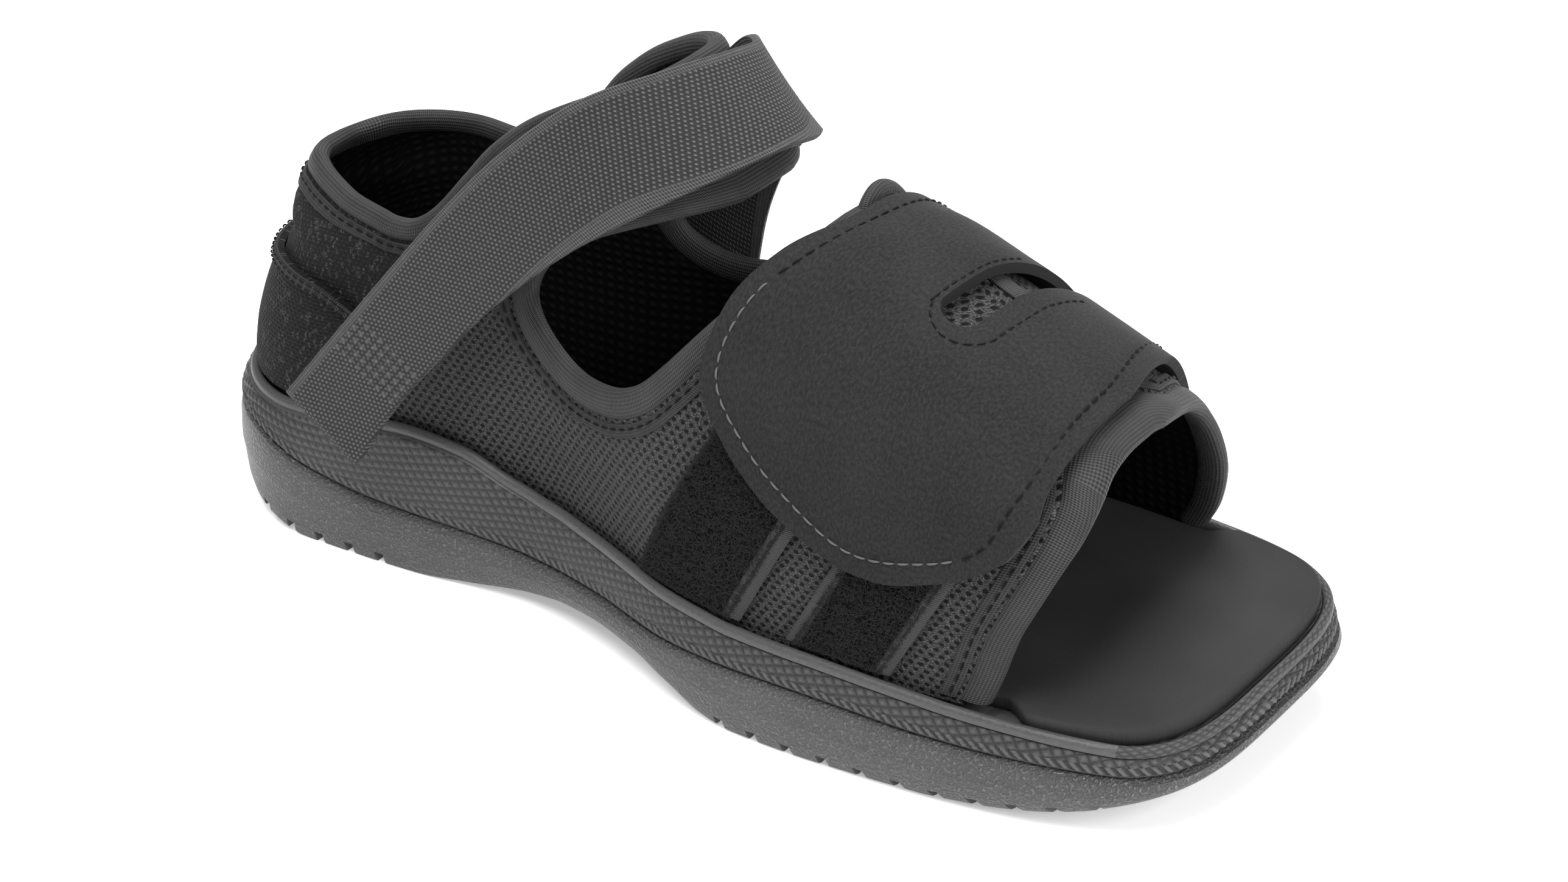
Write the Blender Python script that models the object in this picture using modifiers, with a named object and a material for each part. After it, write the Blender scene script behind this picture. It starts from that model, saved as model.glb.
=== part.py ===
"""Post operative shoe: an open-toed walking shoe with a rocker sole, a mesh upper, a forefoot cover flap
and an ankle strap. X runs from heel to toe, Z is up, and the strap's free end is on the -Y side."""

import math

import bmesh
import bpy
import numpy as np
from mathutils import Vector
from mathutils.geometry import delaunay_2d_cdt

# Overall sizes in metres
LENGTH = 0.284
BALL_WIDTH = 0.1055
HEIGHT = 0.136
SOLE_DEPTH = 0.0266
HEEL_REST_SHARE = 0.200
GAP = 0.0003

# Sole
BAND_STEP = 0.0016
BAND_LEAN = 0.0016
BEAD_WIDTH = 0.0026
BEAD_RISE = 0.0016
UNDER_TUCK = 0.0042
STEP_IN = 0.0034
FLOOR_THICKNESS = 0.0040
GROOVE_WIDTH = 0.0027
GROOVE_DEPTH = 0.0030
GROOVE_PITCH = 0.0094
INSOLE_THICKNESS = 0.0038

# Upper and what is sewn to it
WALL = 0.0028
HEEL_ROUND = 0.0283
COUNTER_THICKNESS = 0.0016
BINDING_THICKNESS = 0.0044
COLLAR_BINDING_WIDTH = 0.0052
THROAT_BINDING_WIDTH = 0.0070
TOE_BINDING_WIDTH = 0.0068
PATCH_THICKNESS = 0.0014
FLAP_THICKNESS = 0.0022
ANKLE_FLAP_THICKNESS = 0.0019
SLOT_WIDTH = 0.0090
SLOT_START = -0.0135
STRAP_THICKNESS = 0.0018

# Sole along its length: half width as a share of half the ball width, how far the tread tucks under as a
# share of UNDER_TUCK, and heights of the underside, the split line and the rim as shares of SOLE_DEPTH
SOLE_ROWS = [
    # share, half, tuck, under, split, rim
    (0.000, 0.660, 0.400, 0.320, 1.038, 1.370),
    (0.035, 0.660, 0.400, 0.210, 1.020, 1.350),
    (0.070, 0.660, 0.400, 0.120, 0.970, 1.335),
    (0.105, 0.660, 0.400, 0.040, 0.850, 1.325),
    (0.130, 0.660, 0.400, 0.000, 0.755, 1.325),
    (0.160, 0.660, 0.400, 0.000, 0.690, 1.350),
    (0.200, 0.658, 0.400, 0.000, 0.630, 1.395),
    (0.245, 0.652, 0.450, 0.000, 0.600, 1.430),
    (0.300, 0.637, 0.650, 0.045, 0.570, 1.370),
    (0.350, 0.627, 0.850, 0.110, 0.540, 1.190),
    (0.390, 0.648, 0.950, 0.165, 0.525, 1.110),
    (0.425, 0.698, 1.000, 0.210, 0.540, 1.085),
    (0.460, 0.760, 1.000, 0.240, 0.565, 1.075),
    (0.500, 0.840, 0.950, 0.235, 0.575, 1.065),
    (0.540, 0.915, 0.800, 0.160, 0.590, 1.055),
    (0.580, 0.961, 0.650, 0.040, 0.610, 1.040),
    (0.615, 0.985, 0.600, 0.000, 0.625, 1.020),
    (0.680, 1.000, 0.700, 0.000, 0.640, 1.015),
    (0.730, 0.998, 0.900, 0.000, 0.630, 1.000),
    (0.780, 0.988, 1.100, 0.000, 0.610, 0.975),
    (0.830, 0.968, 1.200, 0.035, 0.605, 0.945),
    (0.880, 0.940, 1.200, 0.120, 0.620, 0.935),
    (0.925, 0.900, 1.200, 0.235, 0.630, 0.920),
    (0.960, 0.870, 1.200, 0.350, 0.620, 0.890),
    (1.000, 0.835, 1.200, 0.450, 0.600, 0.870),
]

# How far the upper's foot line stands in from the sole's outline, as a share of WALL, along the length
FOOT_INSET_ROWS = [(0.00, 2.30), (0.30, 2.20), (0.55, 1.75), (0.80, 1.60), (1.00, 1.60)]

# The upper from the side: x as a share of LENGTH, z as a share of HEIGHT
BACK_ROWS = [
    (0.0262, 0.165),
    (0.0262, 0.272),
    (0.0317, 0.338),
    (0.0423, 0.401),
    (0.0600, 0.478),
    (0.0700, 0.522),
    (0.0775, 0.552),
    (0.0760, 0.588),
    (0.0830, 0.632),
    (0.0950, 0.672),
    (0.1080, 0.735),
    (0.1160, 0.950),
]
RIDGE_ROWS = [
    (0.4225, 1.120),
    (0.4680, 1.015),
    (0.4930, 0.956),
    (0.5460, 0.816),
    (0.5670, 0.783),
    (0.6060, 0.779),
    (0.6620, 0.761),
    (0.7040, 0.732),
    (0.7460, 0.695),
    (0.7920, 0.654),
    (0.8560, 0.581),
    (0.8840, 0.560),
    (0.9050, 0.540),
    (1.0200, 0.353),
]
HUB = (0.616, 1.103)
FOOT_END = 1.13

# Crown of each slanted section: turn about the hub in degrees, and fullness on the near and far sides
CROWN_ROWS = [
    (186.0, 2.50, 2.50),
    (215.0, 2.50, 2.50),
    (250.0, 2.40, 2.30),
    (285.0, 2.50, 1.95),
    (303.0, 2.70, 1.72),
    (312.0, 2.90, 1.58),
    (322.0, 2.90, 1.52),
]

# How far the sides swell past the foot line, as a share of half the ball width, along the length
SWELL_ROWS = [
    (0.00, 0.000),
    (0.20, 0.020),
    (0.38, 0.085),
    (0.50, 0.105),
    (0.62, 0.050),
    (0.80, 0.020),
    (1.00, 0.020),
]
SWELL_FROM, SWELL_TO = 0.20, 0.46

# How far the near side draws in at the collar, above the heel's padded roll, in the same share
NECK_ROWS = [(0.08, 0.190), (0.14, 0.170), (0.20, 0.080), (0.26, 0.000)]
NECK_FROM, NECK_TO = 0.56, 0.66

# Free edges of the openings from the side, x and z as shares of LENGTH and HEIGHT
COLLAR_ROWS = [
    (0.0950, 0.672),
    (0.1150, 0.676),
    (0.1480, 0.672),
    (0.1830, 0.667),
    (0.2150, 0.662),
    (0.2360, 0.658),
    (0.2600, 0.668),
    (0.2830, 0.700),
    (0.3150, 0.772),
    (0.3450, 0.840),
    (0.3790, 0.896),
    (0.4225, 0.945),
    (0.4700, 0.985),
]
THROAT_ROWS = [
    (0.6140, 0.772),
    (0.6030, 0.735),
    (0.5750, 0.679),
    (0.5370, 0.590),
    (0.5100, 0.540),
    (0.4760, 0.511),
    (0.4380, 0.505),
    (0.4060, 0.527),
    (0.3860, 0.567),
    (0.3830, 0.610),
    (0.4000, 0.663),
    (0.4400, 0.722),
    (0.4900, 0.770),
    (0.5300, 0.795),
    (0.5550, 0.803),
]
TOE_ROWS = [
    # z, near x, far x
    (0.192, 0.8425, 0.8470),
    (0.243, 0.8530, 0.8600),
    (0.320, 0.8665, 0.8700),
    (0.397, 0.8850, 0.8715),
    (0.461, 0.8990, 0.8710),
    (0.495, 0.9035, 0.8750),
    (0.525, 0.9020, 0.8830),
    (0.552, 0.8925, 0.8925),
]

# Overlays from the side
COUNTER_TOP_ROWS = [
    (0.000, 0.495),
    (0.050, 0.510),
    (0.090, 0.505),
    (0.130, 0.475),
    (0.165, 0.435),
    (0.190, 0.370),
    (0.215, 0.300),
]
PATCHES = [(0.512, 0.0245), (0.675, 0.0190)]
PATCH_TOP = 0.530
PATCH_LEAN = 0.600
FLAP_ROWS = [
    # across (-1 near foot line, 0 ridge, 1 far foot line), rear share, front share
    (-0.775, 0.668, 0.826),
    (-0.700, 0.628, 0.860),
    (-0.600, 0.600, 0.872),
    (-0.500, 0.583, 0.872),
    (-0.350, 0.590, 0.868),
    (-0.200, 0.610, 0.868),
    (0.000, 0.636, 0.866),
    (0.300, 0.630, 0.850),
    (0.620, 0.606, 0.832),
    (0.860, 0.600, 0.820),
]
SLOT_AT, SLOT_LEAN = 0.752, 0.060
ANKLE_FLAP_NEAR = 0.25
STRAP_ROWS = [
    # rear edge x, y, z and front edge x, y, z as shares of LENGTH, half of BALL_WIDTH and HEIGHT
    (0.169, -0.860, 0.360, 0.238, -0.860, 0.255),
    (0.216, -0.805, 0.480, 0.274, -0.805, 0.370),
    (0.270, -0.745, 0.615, 0.318, -0.750, 0.480),
    (0.323, -0.680, 0.745, 0.372, -0.700, 0.600),
    (0.378, -0.600, 0.865, 0.437, -0.620, 0.715),
    (0.435, -0.470, 0.960, 0.500, -0.480, 0.800),
    (0.484, -0.260, 1.000, 0.542, -0.250, 0.846),
    (0.502, 0.010, 0.998, 0.560, 0.030, 0.856),
    (0.491, 0.310, 0.968, 0.548, 0.320, 0.823),
    (0.452, 0.510, 0.930, 0.516, 0.520, 0.785),
    (0.400, 0.620, 0.820, 0.474, 0.650, 0.690),
    (0.357, 0.680, 0.670, 0.440, 0.730, 0.565),
    (0.334, 0.700, 0.480, 0.420, 0.760, 0.420),
    (0.325, 0.700, 0.330, 0.410, 0.750, 0.310),
]


def through(rows, column):
    """A smooth curve through one column of a table against its first column, flat where the table is flat."""
    xs = np.array([row[0] for row in rows])
    ys = np.array([row[column] for row in rows])
    steps = np.diff(xs)
    slopes = np.diff(ys) / steps
    tangents = np.zeros_like(ys)
    same = slopes[1:] * slopes[:-1] > 0
    pair = slopes[1:] + slopes[:-1]
    tangents[1:-1][same] = 2 * slopes[1:][same] * slopes[:-1][same] / pair[same]
    tangents[0], tangents[-1] = slopes[0], slopes[-1]

    def value(x):
        x = np.clip(x, xs[0], xs[-1])
        i = np.clip(np.searchsorted(xs, x) - 1, 0, len(steps) - 1)
        t = (x - xs[i]) / steps[i]
        from_left = ys[i] * (1 + 2 * t) + tangents[i] * steps[i] * t
        from_right = ys[i + 1] * (3 - 2 * t) - tangents[i + 1] * steps[i] * (1 - t)
        return from_left * (1 - t) ** 2 + from_right * t**2

    return value


def along(points, count, ends=0.0):
    """Points on a smooth line through the given ones, even or, with ends up to 1, closer at its ends."""
    points = np.asarray(points, float)
    padded = np.vstack([2 * points[0] - points[1], points, 2 * points[-1] - points[-2]])
    t = np.linspace(0, 1, 12, endpoint=False)[:, None]
    pieces = []
    for a, b, c, d in zip(padded, padded[1:], padded[2:], padded[3:]):
        bend = (2 * a - 5 * b + 4 * c - d) * t**2 + (3 * b - a - 3 * c + d) * t**3
        pieces.append(0.5 * (2 * b + (c - a) * t + bend))
    fine = np.vstack(pieces + [points[-1:]])
    run = np.append(0, np.cumsum(np.linalg.norm(np.diff(fine, axis=0), axis=1)))
    even = np.linspace(0, 1, count)
    eased = (1 - np.cos(even * math.pi)) / 2
    at = run[-1] * (even + (eased - even) * ends)
    return np.column_stack([np.interp(at, run, fine[:, k]) for k in range(fine.shape[1])])


def grown(line, distance):
    """A line in the side view moved to its left by a distance."""
    ahead = np.gradient(line, axis=0)
    ahead /= np.linalg.norm(ahead, axis=1)[:, None]
    return line + distance * np.column_stack([-ahead[:, 1], ahead[:, 0]])


def from_side(rows):
    return np.array(rows) * [LENGTH, HEIGHT]


half_of = through(SOLE_ROWS, 1)
tuck_of = through(SOLE_ROWS, 2)
under_of = through(SOLE_ROWS, 3)
split_of = through(SOLE_ROWS, 4)
rim_of = through(SOLE_ROWS, 5)
foot_inset_of = through(FOOT_INSET_ROWS, 1)
swell_of = through(SWELL_ROWS, 1)
neck_of = through(NECK_ROWS, 1)
back_of = through([(z, x) for x, z in BACK_ROWS], 1)
FLOOR = SOLE_DEPTH - INSOLE_THICKNESS - GAP
FOOT = FLOOR + 6 * GAP


def straight_half(x):
    """Half width of the sole's outline without its rounded ends."""
    return half_of(x / LENGTH) * BALL_WIDTH / 2


def plan_half(x):
    """Half width of the sole's outline, round at the heel and squared off at the toe."""
    heel = half_of(0.0) * BALL_WIDTH / 2
    toe = 0.120 * LENGTH
    from_back = np.clip(1 - x / heel, 0, 1)
    from_front = np.clip(1 - (LENGTH - x) / toe, 0, 1)
    return straight_half(x) * np.sqrt(1 - from_back**2) * (1 - from_front**3.6) ** (1 / 3.6)


def sole_outline(count):
    """Points and outward directions on one half of the sole's outline, closer together where it turns."""
    turn = np.linspace(0, math.pi, 1500)
    x = LENGTH * (1 - np.cos(turn)) / 2
    line = np.column_stack([x, -plan_half(x)])
    ahead = np.diff(line, axis=0)
    run = np.linalg.norm(ahead, axis=1)
    heading = np.unwrap(np.arctan2(ahead[:, 1], ahead[:, 0]))
    bend = np.abs(np.diff(heading, prepend=heading[0]))
    weight = np.append(0, np.cumsum(run / run.sum() + 0.8 * bend / bend.sum()))
    at = np.linspace(0, weight[-1], count + 1)
    points = np.column_stack([np.interp(at, weight, line[:, k]) for k in range(2)])
    middle = (weight[1:] + weight[:-1]) / 2
    facing = np.interp(at, middle, heading)
    outward = np.column_stack([np.sin(facing), -np.cos(facing)])
    outward[0], outward[-1] = (-1, 0), (1, 0)
    points[0, 1] = points[-1, 1] = 0
    return points, outward


OUTLINE, OUTWARD = sole_outline(44)


def ring(inset, height):
    """One half ring of the sole, in from the outline, at a height that follows the length."""
    inset = inset(OUTLINE[:, 0] / LENGTH) if callable(inset) else inset
    plan = OUTLINE - OUTWARD * np.reshape(inset, (-1, 1))
    return np.column_stack([plan, height(OUTLINE[:, 0] / LENGTH)])


def own_frame(points):
    """From heel-back measures to the part's own frame, whose origin is the heel's rest."""
    return np.asarray(points, float) - [HEEL_REST_SHARE * LENGTH, 0, 0]


def material(name, colour, roughness):
    made = bpy.data.materials.new(name)
    made.use_nodes = True
    shader = made.node_tree.nodes["Principled BSDF"]
    shader.inputs["Base Color"].default_value = (*colour, 1)
    shader.inputs["Roughness"].default_value = roughness
    made.diffuse_color = (*colour, 1)
    return made


def finished(name, form, finish, collection="post_operative_shoe"):
    """Turns a bmesh into an object in its collection."""
    bmesh.ops.recalc_face_normals(form, faces=form.faces)
    mesh = bpy.data.meshes.new(name)
    form.to_mesh(mesh)
    form.free()
    piece = bpy.data.objects.new(name, mesh)
    bpy.data.collections[collection].objects.link(piece)
    if finish:
        mesh.materials.append(finish)
        mesh.shade_smooth()
        mesh.set_sharp_from_angle(angle=math.radians(40))
    return piece


def lofted(name, rings, finish):
    """A closed solid from half rings, mirrored to the far side and capped at the first and last."""
    form = bmesh.new()
    mirror = [1, -1, 1]
    rows = []
    for half in rings:
        near = [form.verts.new(p) for p in own_frame(half)]
        far = [form.verts.new(p) for p in own_frame(half[1:-1] * mirror)]
        rows.append((near, [near[0]] + far + [near[-1]]))
    for (near, far), (next_near, next_far) in zip(rows, rows[1:]):
        for low, high in ((near, next_near), (far, next_far)):
            for i in range(len(low) - 1):
                form.faces.new((low[i], low[i + 1], high[i + 1], high[i]))
    for near, far in (rows[0], rows[-1]):
        for i in range(len(near) - 1):
            form.faces.new(dict.fromkeys((near[i], near[i + 1], far[i + 1], far[i])))
    return finished(name, form, finish)


def slab(name, inner, outer, finish):
    """A closed solid between two grids of points."""
    form = bmesh.new()
    low = [[form.verts.new(p) for p in row] for row in own_frame(inner)]
    high = [[form.verts.new(p) for p in row] for row in own_frame(outer)]
    rows, columns = len(low), len(low[0])
    for grid in (low, high):
        for i in range(rows - 1):
            for j in range(columns - 1):
                form.faces.new((grid[i][j], grid[i + 1][j], grid[i + 1][j + 1], grid[i][j + 1]))
    edge = [(i, 0) for i in range(rows)] + [(rows - 1, j) for j in range(1, columns)]
    edge += [(i, columns - 1) for i in range(rows - 2, -1, -1)] + [(0, j) for j in range(columns - 2, 0, -1)]
    for (a, b), (c, d) in zip(edge, edge[1:] + edge[:1]):
        form.faces.new((low[a][b], low[c][d], high[c][d], high[a][b]))
    return finished(name, form, finish)


def prism(name, outline, start=-BALL_WIDTH, end=BALL_WIDTH, upright=False):
    """A cutter: an outline of the side view run across the shoe or, upright, one of the plan run up it."""
    form = bmesh.new()
    base = own_frame([(x, second, start) if upright else (x, start, second) for x, second in outline])
    face = form.faces.new([form.verts.new(p) for p in base])
    pulled = bmesh.ops.extrude_face_region(form, geom=[face])["geom"]
    moved = [v for v in pulled if isinstance(v, bmesh.types.BMVert)]
    bmesh.ops.translate(form, vec=(0, 0, end - start) if upright else (0, end - start, 0), verts=moved)
    return cutter(finished(name, form, None, "cutters"))


def cutter(piece):
    piece.hide_render = True
    piece.display_type = "WIRE"
    return piece


def cut(piece, tool):
    boolean = piece.modifiers.new(tool.name, "BOOLEAN")
    boolean.operation = "DIFFERENCE"
    boolean.solver = "EXACT"
    boolean.object = tool
    boolean.use_self = piece.name == "outsole"


def box_cutter(name, centre, size, tilt=0.0):
    """A box that cuts, turned about Y."""
    bpy.ops.mesh.primitive_cube_add(size=1, location=own_frame([centre])[0], rotation=(0, tilt, 0))
    box = bpy.context.object
    box.name = name
    box.scale = size
    bpy.ops.object.transform_apply(location=False, rotation=False, scale=True)
    for held in box.users_collection:
        held.objects.unlink(box)
    bpy.data.collections["cutters"].objects.link(box)
    return cutter(box)


def clear_scene():
    for piece in list(bpy.data.objects):
        bpy.data.objects.remove(piece, do_unlink=True)
    for name in ("post_operative_shoe", "cutters"):
        made = bpy.data.collections.new(name)
        bpy.context.scene.collection.children.link(made)


# The sole

def under_height(share):
    return under_of(share) * SOLE_DEPTH


def split_height(share):
    return split_of(share) * SOLE_DEPTH


def rim_height(share):
    return rim_of(share) * SOLE_DEPTH


def between(low, high, part):
    return lambda share: low(share) + part * (high(share) - low(share))


def raised(height, rise):
    return lambda share: height(share) + rise


def plateau(share):
    """The outsole's top inside its perimeter, low enough for the tray's floor."""
    return np.minimum(split_height(share), FLOOR - FLOOR_THICKNESS)


def build_outsole(rubber):
    """The tread: a swelling side over grooved heel and forefoot, arched between and sprung at the toe."""
    low = under_height
    outsole = lofted(
        "outsole",
        [
            ring(lambda share: UNDER_TUCK * tuck_of(share), low),
            ring(lambda share: UNDER_TUCK * 0.38 * tuck_of(share), between(low, split_height, 0.15)),
            ring(0.0003, between(low, split_height, 0.42)),
            ring(0.0002, between(low, split_height, 0.70)),
            ring(0.0010, raised(split_height, -0.0007)),
            ring(BAND_STEP + 0.0012, split_height),
            ring(STEP_IN, split_height),
            ring(STEP_IN + 0.0006, plateau),
        ],
        rubber,
    )
    groove_runs = [(0.078, 0.235), (0.603, 0.960)]
    for run, (start, end) in enumerate(groove_runs):
        count = int((end - start) * LENGTH / GROOVE_PITCH)
        for i in range(count + 1):
            share = start + i * GROOVE_PITCH / LENGTH
            slope = (under_height(share + 0.01) - under_height(share - 0.01)) / (0.02 * LENGTH)
            centre = (share * LENGTH, 0, float(under_height(share)))
            size = (GROOVE_WIDTH, BALL_WIDTH * 1.1, 2 * GROOVE_DEPTH)
            cut(outsole, box_cutter(f"groove_{run}_{i}", centre, size, -math.atan(slope)))
    return outsole


def lip_inset(share):
    """Inset of the tray's inner lip, just outside the upper's foot line."""
    return foot_inset_of(share) * WALL


def build_midsole(rubber):
    """The tray: a leaning knurled band over the outsole, a rounded rim, and a floor for the insole."""
    def band_foot(share):
        return BAND_STEP + 0 * share

    def band_top(share):
        return np.minimum(BAND_STEP + BAND_LEAN, lip_inset(share) - BEAD_WIDTH + 0.0008) + 0 * share

    def bead_out(share):
        return lip_inset(share) - BEAD_WIDTH

    def bead_top(share):
        return lip_inset(share) - BEAD_WIDTH / 2

    def well(share):
        return np.minimum(rim_height(share) - 0.0004, FLOOR + 0 * share)

    return lofted(
        "midsole",
        [
            ring(STEP_IN + 0.0006 + 1.5 * GAP, raised(plateau, GAP)),
            ring(STEP_IN + 1.5 * GAP, raised(split_height, GAP)),
            ring(lambda s: band_foot(s) + 0.0004, raised(split_height, GAP)),
            ring(band_foot, raised(split_height, GAP + 0.0006)),
            ring(band_top, raised(rim_height, -BEAD_RISE - 0.0008)),
            ring(bead_out, raised(rim_height, -BEAD_RISE * 0.5)),
            ring(bead_top, rim_height),
            ring(lip_inset, raised(rim_height, -BEAD_RISE * 0.25)),
            ring(lip_inset, well),
        ],
        rubber,
    )


def build_insole(foam):
    """The footbed: inside the upper's walls, and out to the rim where it shows in front of them."""
    inside = foot_inset_of(0.8) * WALL + WALL + 0.0024
    front = foot_inset_of(1.0) * WALL + GAP

    def inset(share):
        wide = np.clip((share - 0.855) / 0.02, 0, 1)
        narrow = lip_inset(share) + WALL + 0.0024
        return narrow + (front - inside) * wide

    def lower_inset(share):
        return inset(share) + 0.0004

    def bed(share):
        return FLOOR + GAP + 0 * share

    return lofted(
        "insole",
        [
            ring(lower_inset, bed),
            ring(inset, raised(bed, 0.0006)),
            ring(inset, raised(bed, INSOLE_THICKNESS - 0.0008)),
            ring(lambda s: inset(s) + 0.0008, raised(bed, INSOLE_THICKNESS)),
        ],
        foam,
    )


# The upper's own surface

HUB_POINT = np.array(HUB) * [LENGTH, HEIGHT]


def polar(points):
    """Turn in degrees and reach from the hub of points in the side view."""
    out = np.asarray(points, float) - HUB_POINT
    turn = np.degrees(np.arctan2(out[..., 1], out[..., 0])) % 360
    return turn, np.hypot(out[..., 0], out[..., 1])


def at_polar(turn, reach):
    angle = np.radians(turn)
    return HUB_POINT + np.stack([np.cos(angle), np.sin(angle)], axis=-1) * np.expand_dims(reach, -1)


def foot_line(count_back, count_foot):
    """The low line of the upper in the side view: down the back of the heel, then along the foot."""
    heights = np.linspace(1.0, FOOT / HEIGHT, count_back)
    back = np.column_stack([back_of(heights) * LENGTH, heights * HEIGHT])
    start = back[-1, 0]
    shares = np.linspace(0, 1, count_foot + 1)[1:] ** 1.35
    foot = start + (FOOT_END * LENGTH - start) * shares
    return np.vstack([back, np.column_stack([foot, np.full(count_foot, FOOT)])])


FINE_LOW = np.column_stack(polar(foot_line(60, 400)))
RIDGE_POLAR = np.column_stack(polar(from_side(RIDGE_ROWS)))
ridge_reach = through([tuple(row) for row in RIDGE_POLAR], 1)
near_crown = through(CROWN_ROWS, 1)
far_crown = through(CROWN_ROWS, 2)


def low_reach(turn):
    return np.interp(turn, FINE_LOW[:, 0], FINE_LOW[:, 1])


def half_width(x, z, far=False):
    """Half width of the upper's outer face at a point of the side view."""
    x, z = np.asarray(x, float), np.asarray(z, float)
    turn, reach = polar(np.stack([x, z], axis=-1))
    low, top = low_reach(turn), ridge_reach(turn)
    climb = np.clip((low - reach) / (low - top), 0, 1)
    power = np.where(far, far_crown(turn), near_crown(turn))
    crown = (1 - climb**power) ** (1 / power)
    share = x / LENGTH
    rise = np.clip((z / HEIGHT - SWELL_FROM) / (SWELL_TO - SWELL_FROM), 0, 1)
    swell = swell_of(share) * BALL_WIDTH / 2 * rise**2 * (3 - 2 * rise)
    neck = np.clip((z / HEIGHT - NECK_FROM) / (NECK_TO - NECK_FROM), 0, 1)
    neck = np.where(far, 0, neck_of(share) * BALL_WIDTH / 2 * neck**2 * (3 - 2 * neck))
    side = straight_half(x) - lip_inset(share) - 3 * GAP + swell - neck
    from_back = np.clip(1 - (x - back_of(z / HEIGHT) * LENGTH) / HEEL_ROUND, 0, 1)
    return side * crown * np.sqrt(1 - from_back**2)


def on_upper(side_view, far=False):
    """Points of the side view put on the upper's outer face, on the near or the far side."""
    side_view = np.asarray(side_view, float)
    y = half_width(side_view[..., 0], side_view[..., 1], far)
    return np.stack([side_view[..., 0], y if far else -y, side_view[..., 1]], axis=-1)


def outward_of(grid):
    """Unit normals of a grid of points, pointing away from the inside of the shoe."""
    by_row, by_column = np.gradient(grid, axis=0), np.gradient(grid, axis=1)
    normal = np.cross(by_row, by_column)
    normal /= np.linalg.norm(normal, axis=-1, keepdims=True) + 1e-12
    middle = np.array([0.45 * LENGTH, 0, 0.3 * HEIGHT])
    return normal if np.sum(normal * (grid - middle)) > 0 else -normal


def overlay(name, grid, lift, thickness, finish):
    """A sheet of even thickness lying over the upper's face, a lift away from it."""
    normal = outward_of(grid)
    thickness = np.expand_dims(thickness, -1) if np.ndim(thickness) else thickness
    lift = np.expand_dims(lift, -1) if np.ndim(lift) else lift
    return slab(name, grid + normal * lift, grid + normal * (lift + thickness), finish)


def spread_out(side_view):
    """The side view laid out flat over turn and climb, so that points near ridge and back stand apart."""
    turn, reach = polar(side_view)
    low, top = low_reach(turn), ridge_reach(turn)
    climb = np.clip((low - reach) / (low - top), 0, 1)
    climb = np.where(climb < 0.004, 0, np.where(climb > 0.999, 1, climb))
    return np.column_stack([np.radians(turn) * 0.105, np.arccos(1 - 2 * climb) / math.pi * 0.110])


def ridge_between(start, end, count):
    turns = np.linspace(polar(start)[0], polar(end)[0], count)
    return at_polar(turns, ridge_reach(turns))


def upper_outline(far):
    """The side view's outline of one half of the upper: back, collar, ridge, throat, ridge, toe and foot."""
    clear = 3.5 * GAP
    collar = collar_edge(COLLAR_BINDING_WIDTH + clear, far)
    throat = throat_edge(THROAT_BINDING_WIDTH + clear, far)[::-1]
    toe = toe_edge(TOE_BINDING_WIDTH + clear, far)[::-1]
    toe = np.vstack([toe, [toe[-1, 0], FOOT]])
    heights = np.linspace(FOOT, collar[0, 1], 14)
    back = np.column_stack([back_of(heights / HEIGHT) * LENGTH, heights])
    foot = ring(lambda share: lip_inset(share) + 2 * GAP, rim_height)[::-1, 0]
    foot = foot[(foot < toe[-1, 0] - 0.002) & (foot > back[0, 0] + 0.0004)]
    return np.vstack([
        back[:-1],
        collar,
        ridge_between(collar[-1], throat[0], 7)[1:-1],
        throat,
        ridge_between(throat[-1], toe[0], 9)[1:-1],
        toe,
        np.column_stack([foot, np.full(len(foot), FOOT)]),
    ])


def half_upper(far, count_across=13):
    """Triangles of one half of the upper's outer face, with their edges on the outline."""
    outline = upper_outline(far)
    edge = on_upper(outline, far)
    climb = (1 - np.cos(np.linspace(0, math.pi, count_across)[1:-1])) / 2
    inner = []
    for turn in polar(foot_line(18, 44))[0][1:-1]:
        reach = low_reach(turn) + (ridge_reach(turn) - low_reach(turn)) * climb
        inner.append(at_polar(np.full(len(climb), turn), reach))
    inner = np.vstack(inner)
    room = np.linalg.norm(on_upper(inner, far)[:, None] - edge[None], axis=2).min(axis=1)
    flat = spread_out(outline)
    inner = inner[(room > 0.0018) & inside(spread_out(inner), flat)]
    points = np.vstack([outline, inner])
    order = list(range(len(outline)))
    made = delaunay_2d_cdt([Vector(p) for p in spread_out(points)], [], [order], 1, 1e-7)
    came_from = [found[0] for found in made[3]]
    return on_upper(points, far), [[came_from[i] for i in face] for face in made[2]]


def inside(points, loop):
    """Which points lie inside a closed loop."""
    following = np.roll(loop, -1, axis=0)
    found = np.zeros(len(points), bool)
    for (ax, ay), (bx, by) in zip(loop, following):
        if ay != by:
            crosses = (ay > points[:, 1]) != (by > points[:, 1])
            found ^= crosses & (points[:, 0] < ax + (bx - ax) * (points[:, 1] - ay) / (by - ay))
    return found


def build_upper(cloth):
    """The hollow mesh shell with its wall, open at collar, throat and toe and underneath."""
    form = bmesh.new()
    middle = Vector((0.25 * LENGTH, 0, 0.3 * HEIGHT))
    for far in (False, True):
        points, faces = half_upper(far)
        verts = [form.verts.new(p) for p in own_frame(points)]
        for face in faces:
            form.faces.new([verts[i] for i in face])
    bmesh.ops.delete(form, geom=[v for v in form.verts if not v.link_faces], context="VERTS")
    bmesh.ops.remove_doubles(form, verts=form.verts, dist=1e-6)
    upper = finished("upper", form, cloth)
    if sum(face.normal.dot(face.center - middle) for face in upper.data.polygons) < 0:
        upper.data.flip_normals()
    solidify = upper.modifiers.new("wall", "SOLIDIFY")
    solidify.thickness = WALL
    solidify.offset = -1
    return upper


# Openings: each free edge, and the line that the upper is cut along, under its binding

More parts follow.
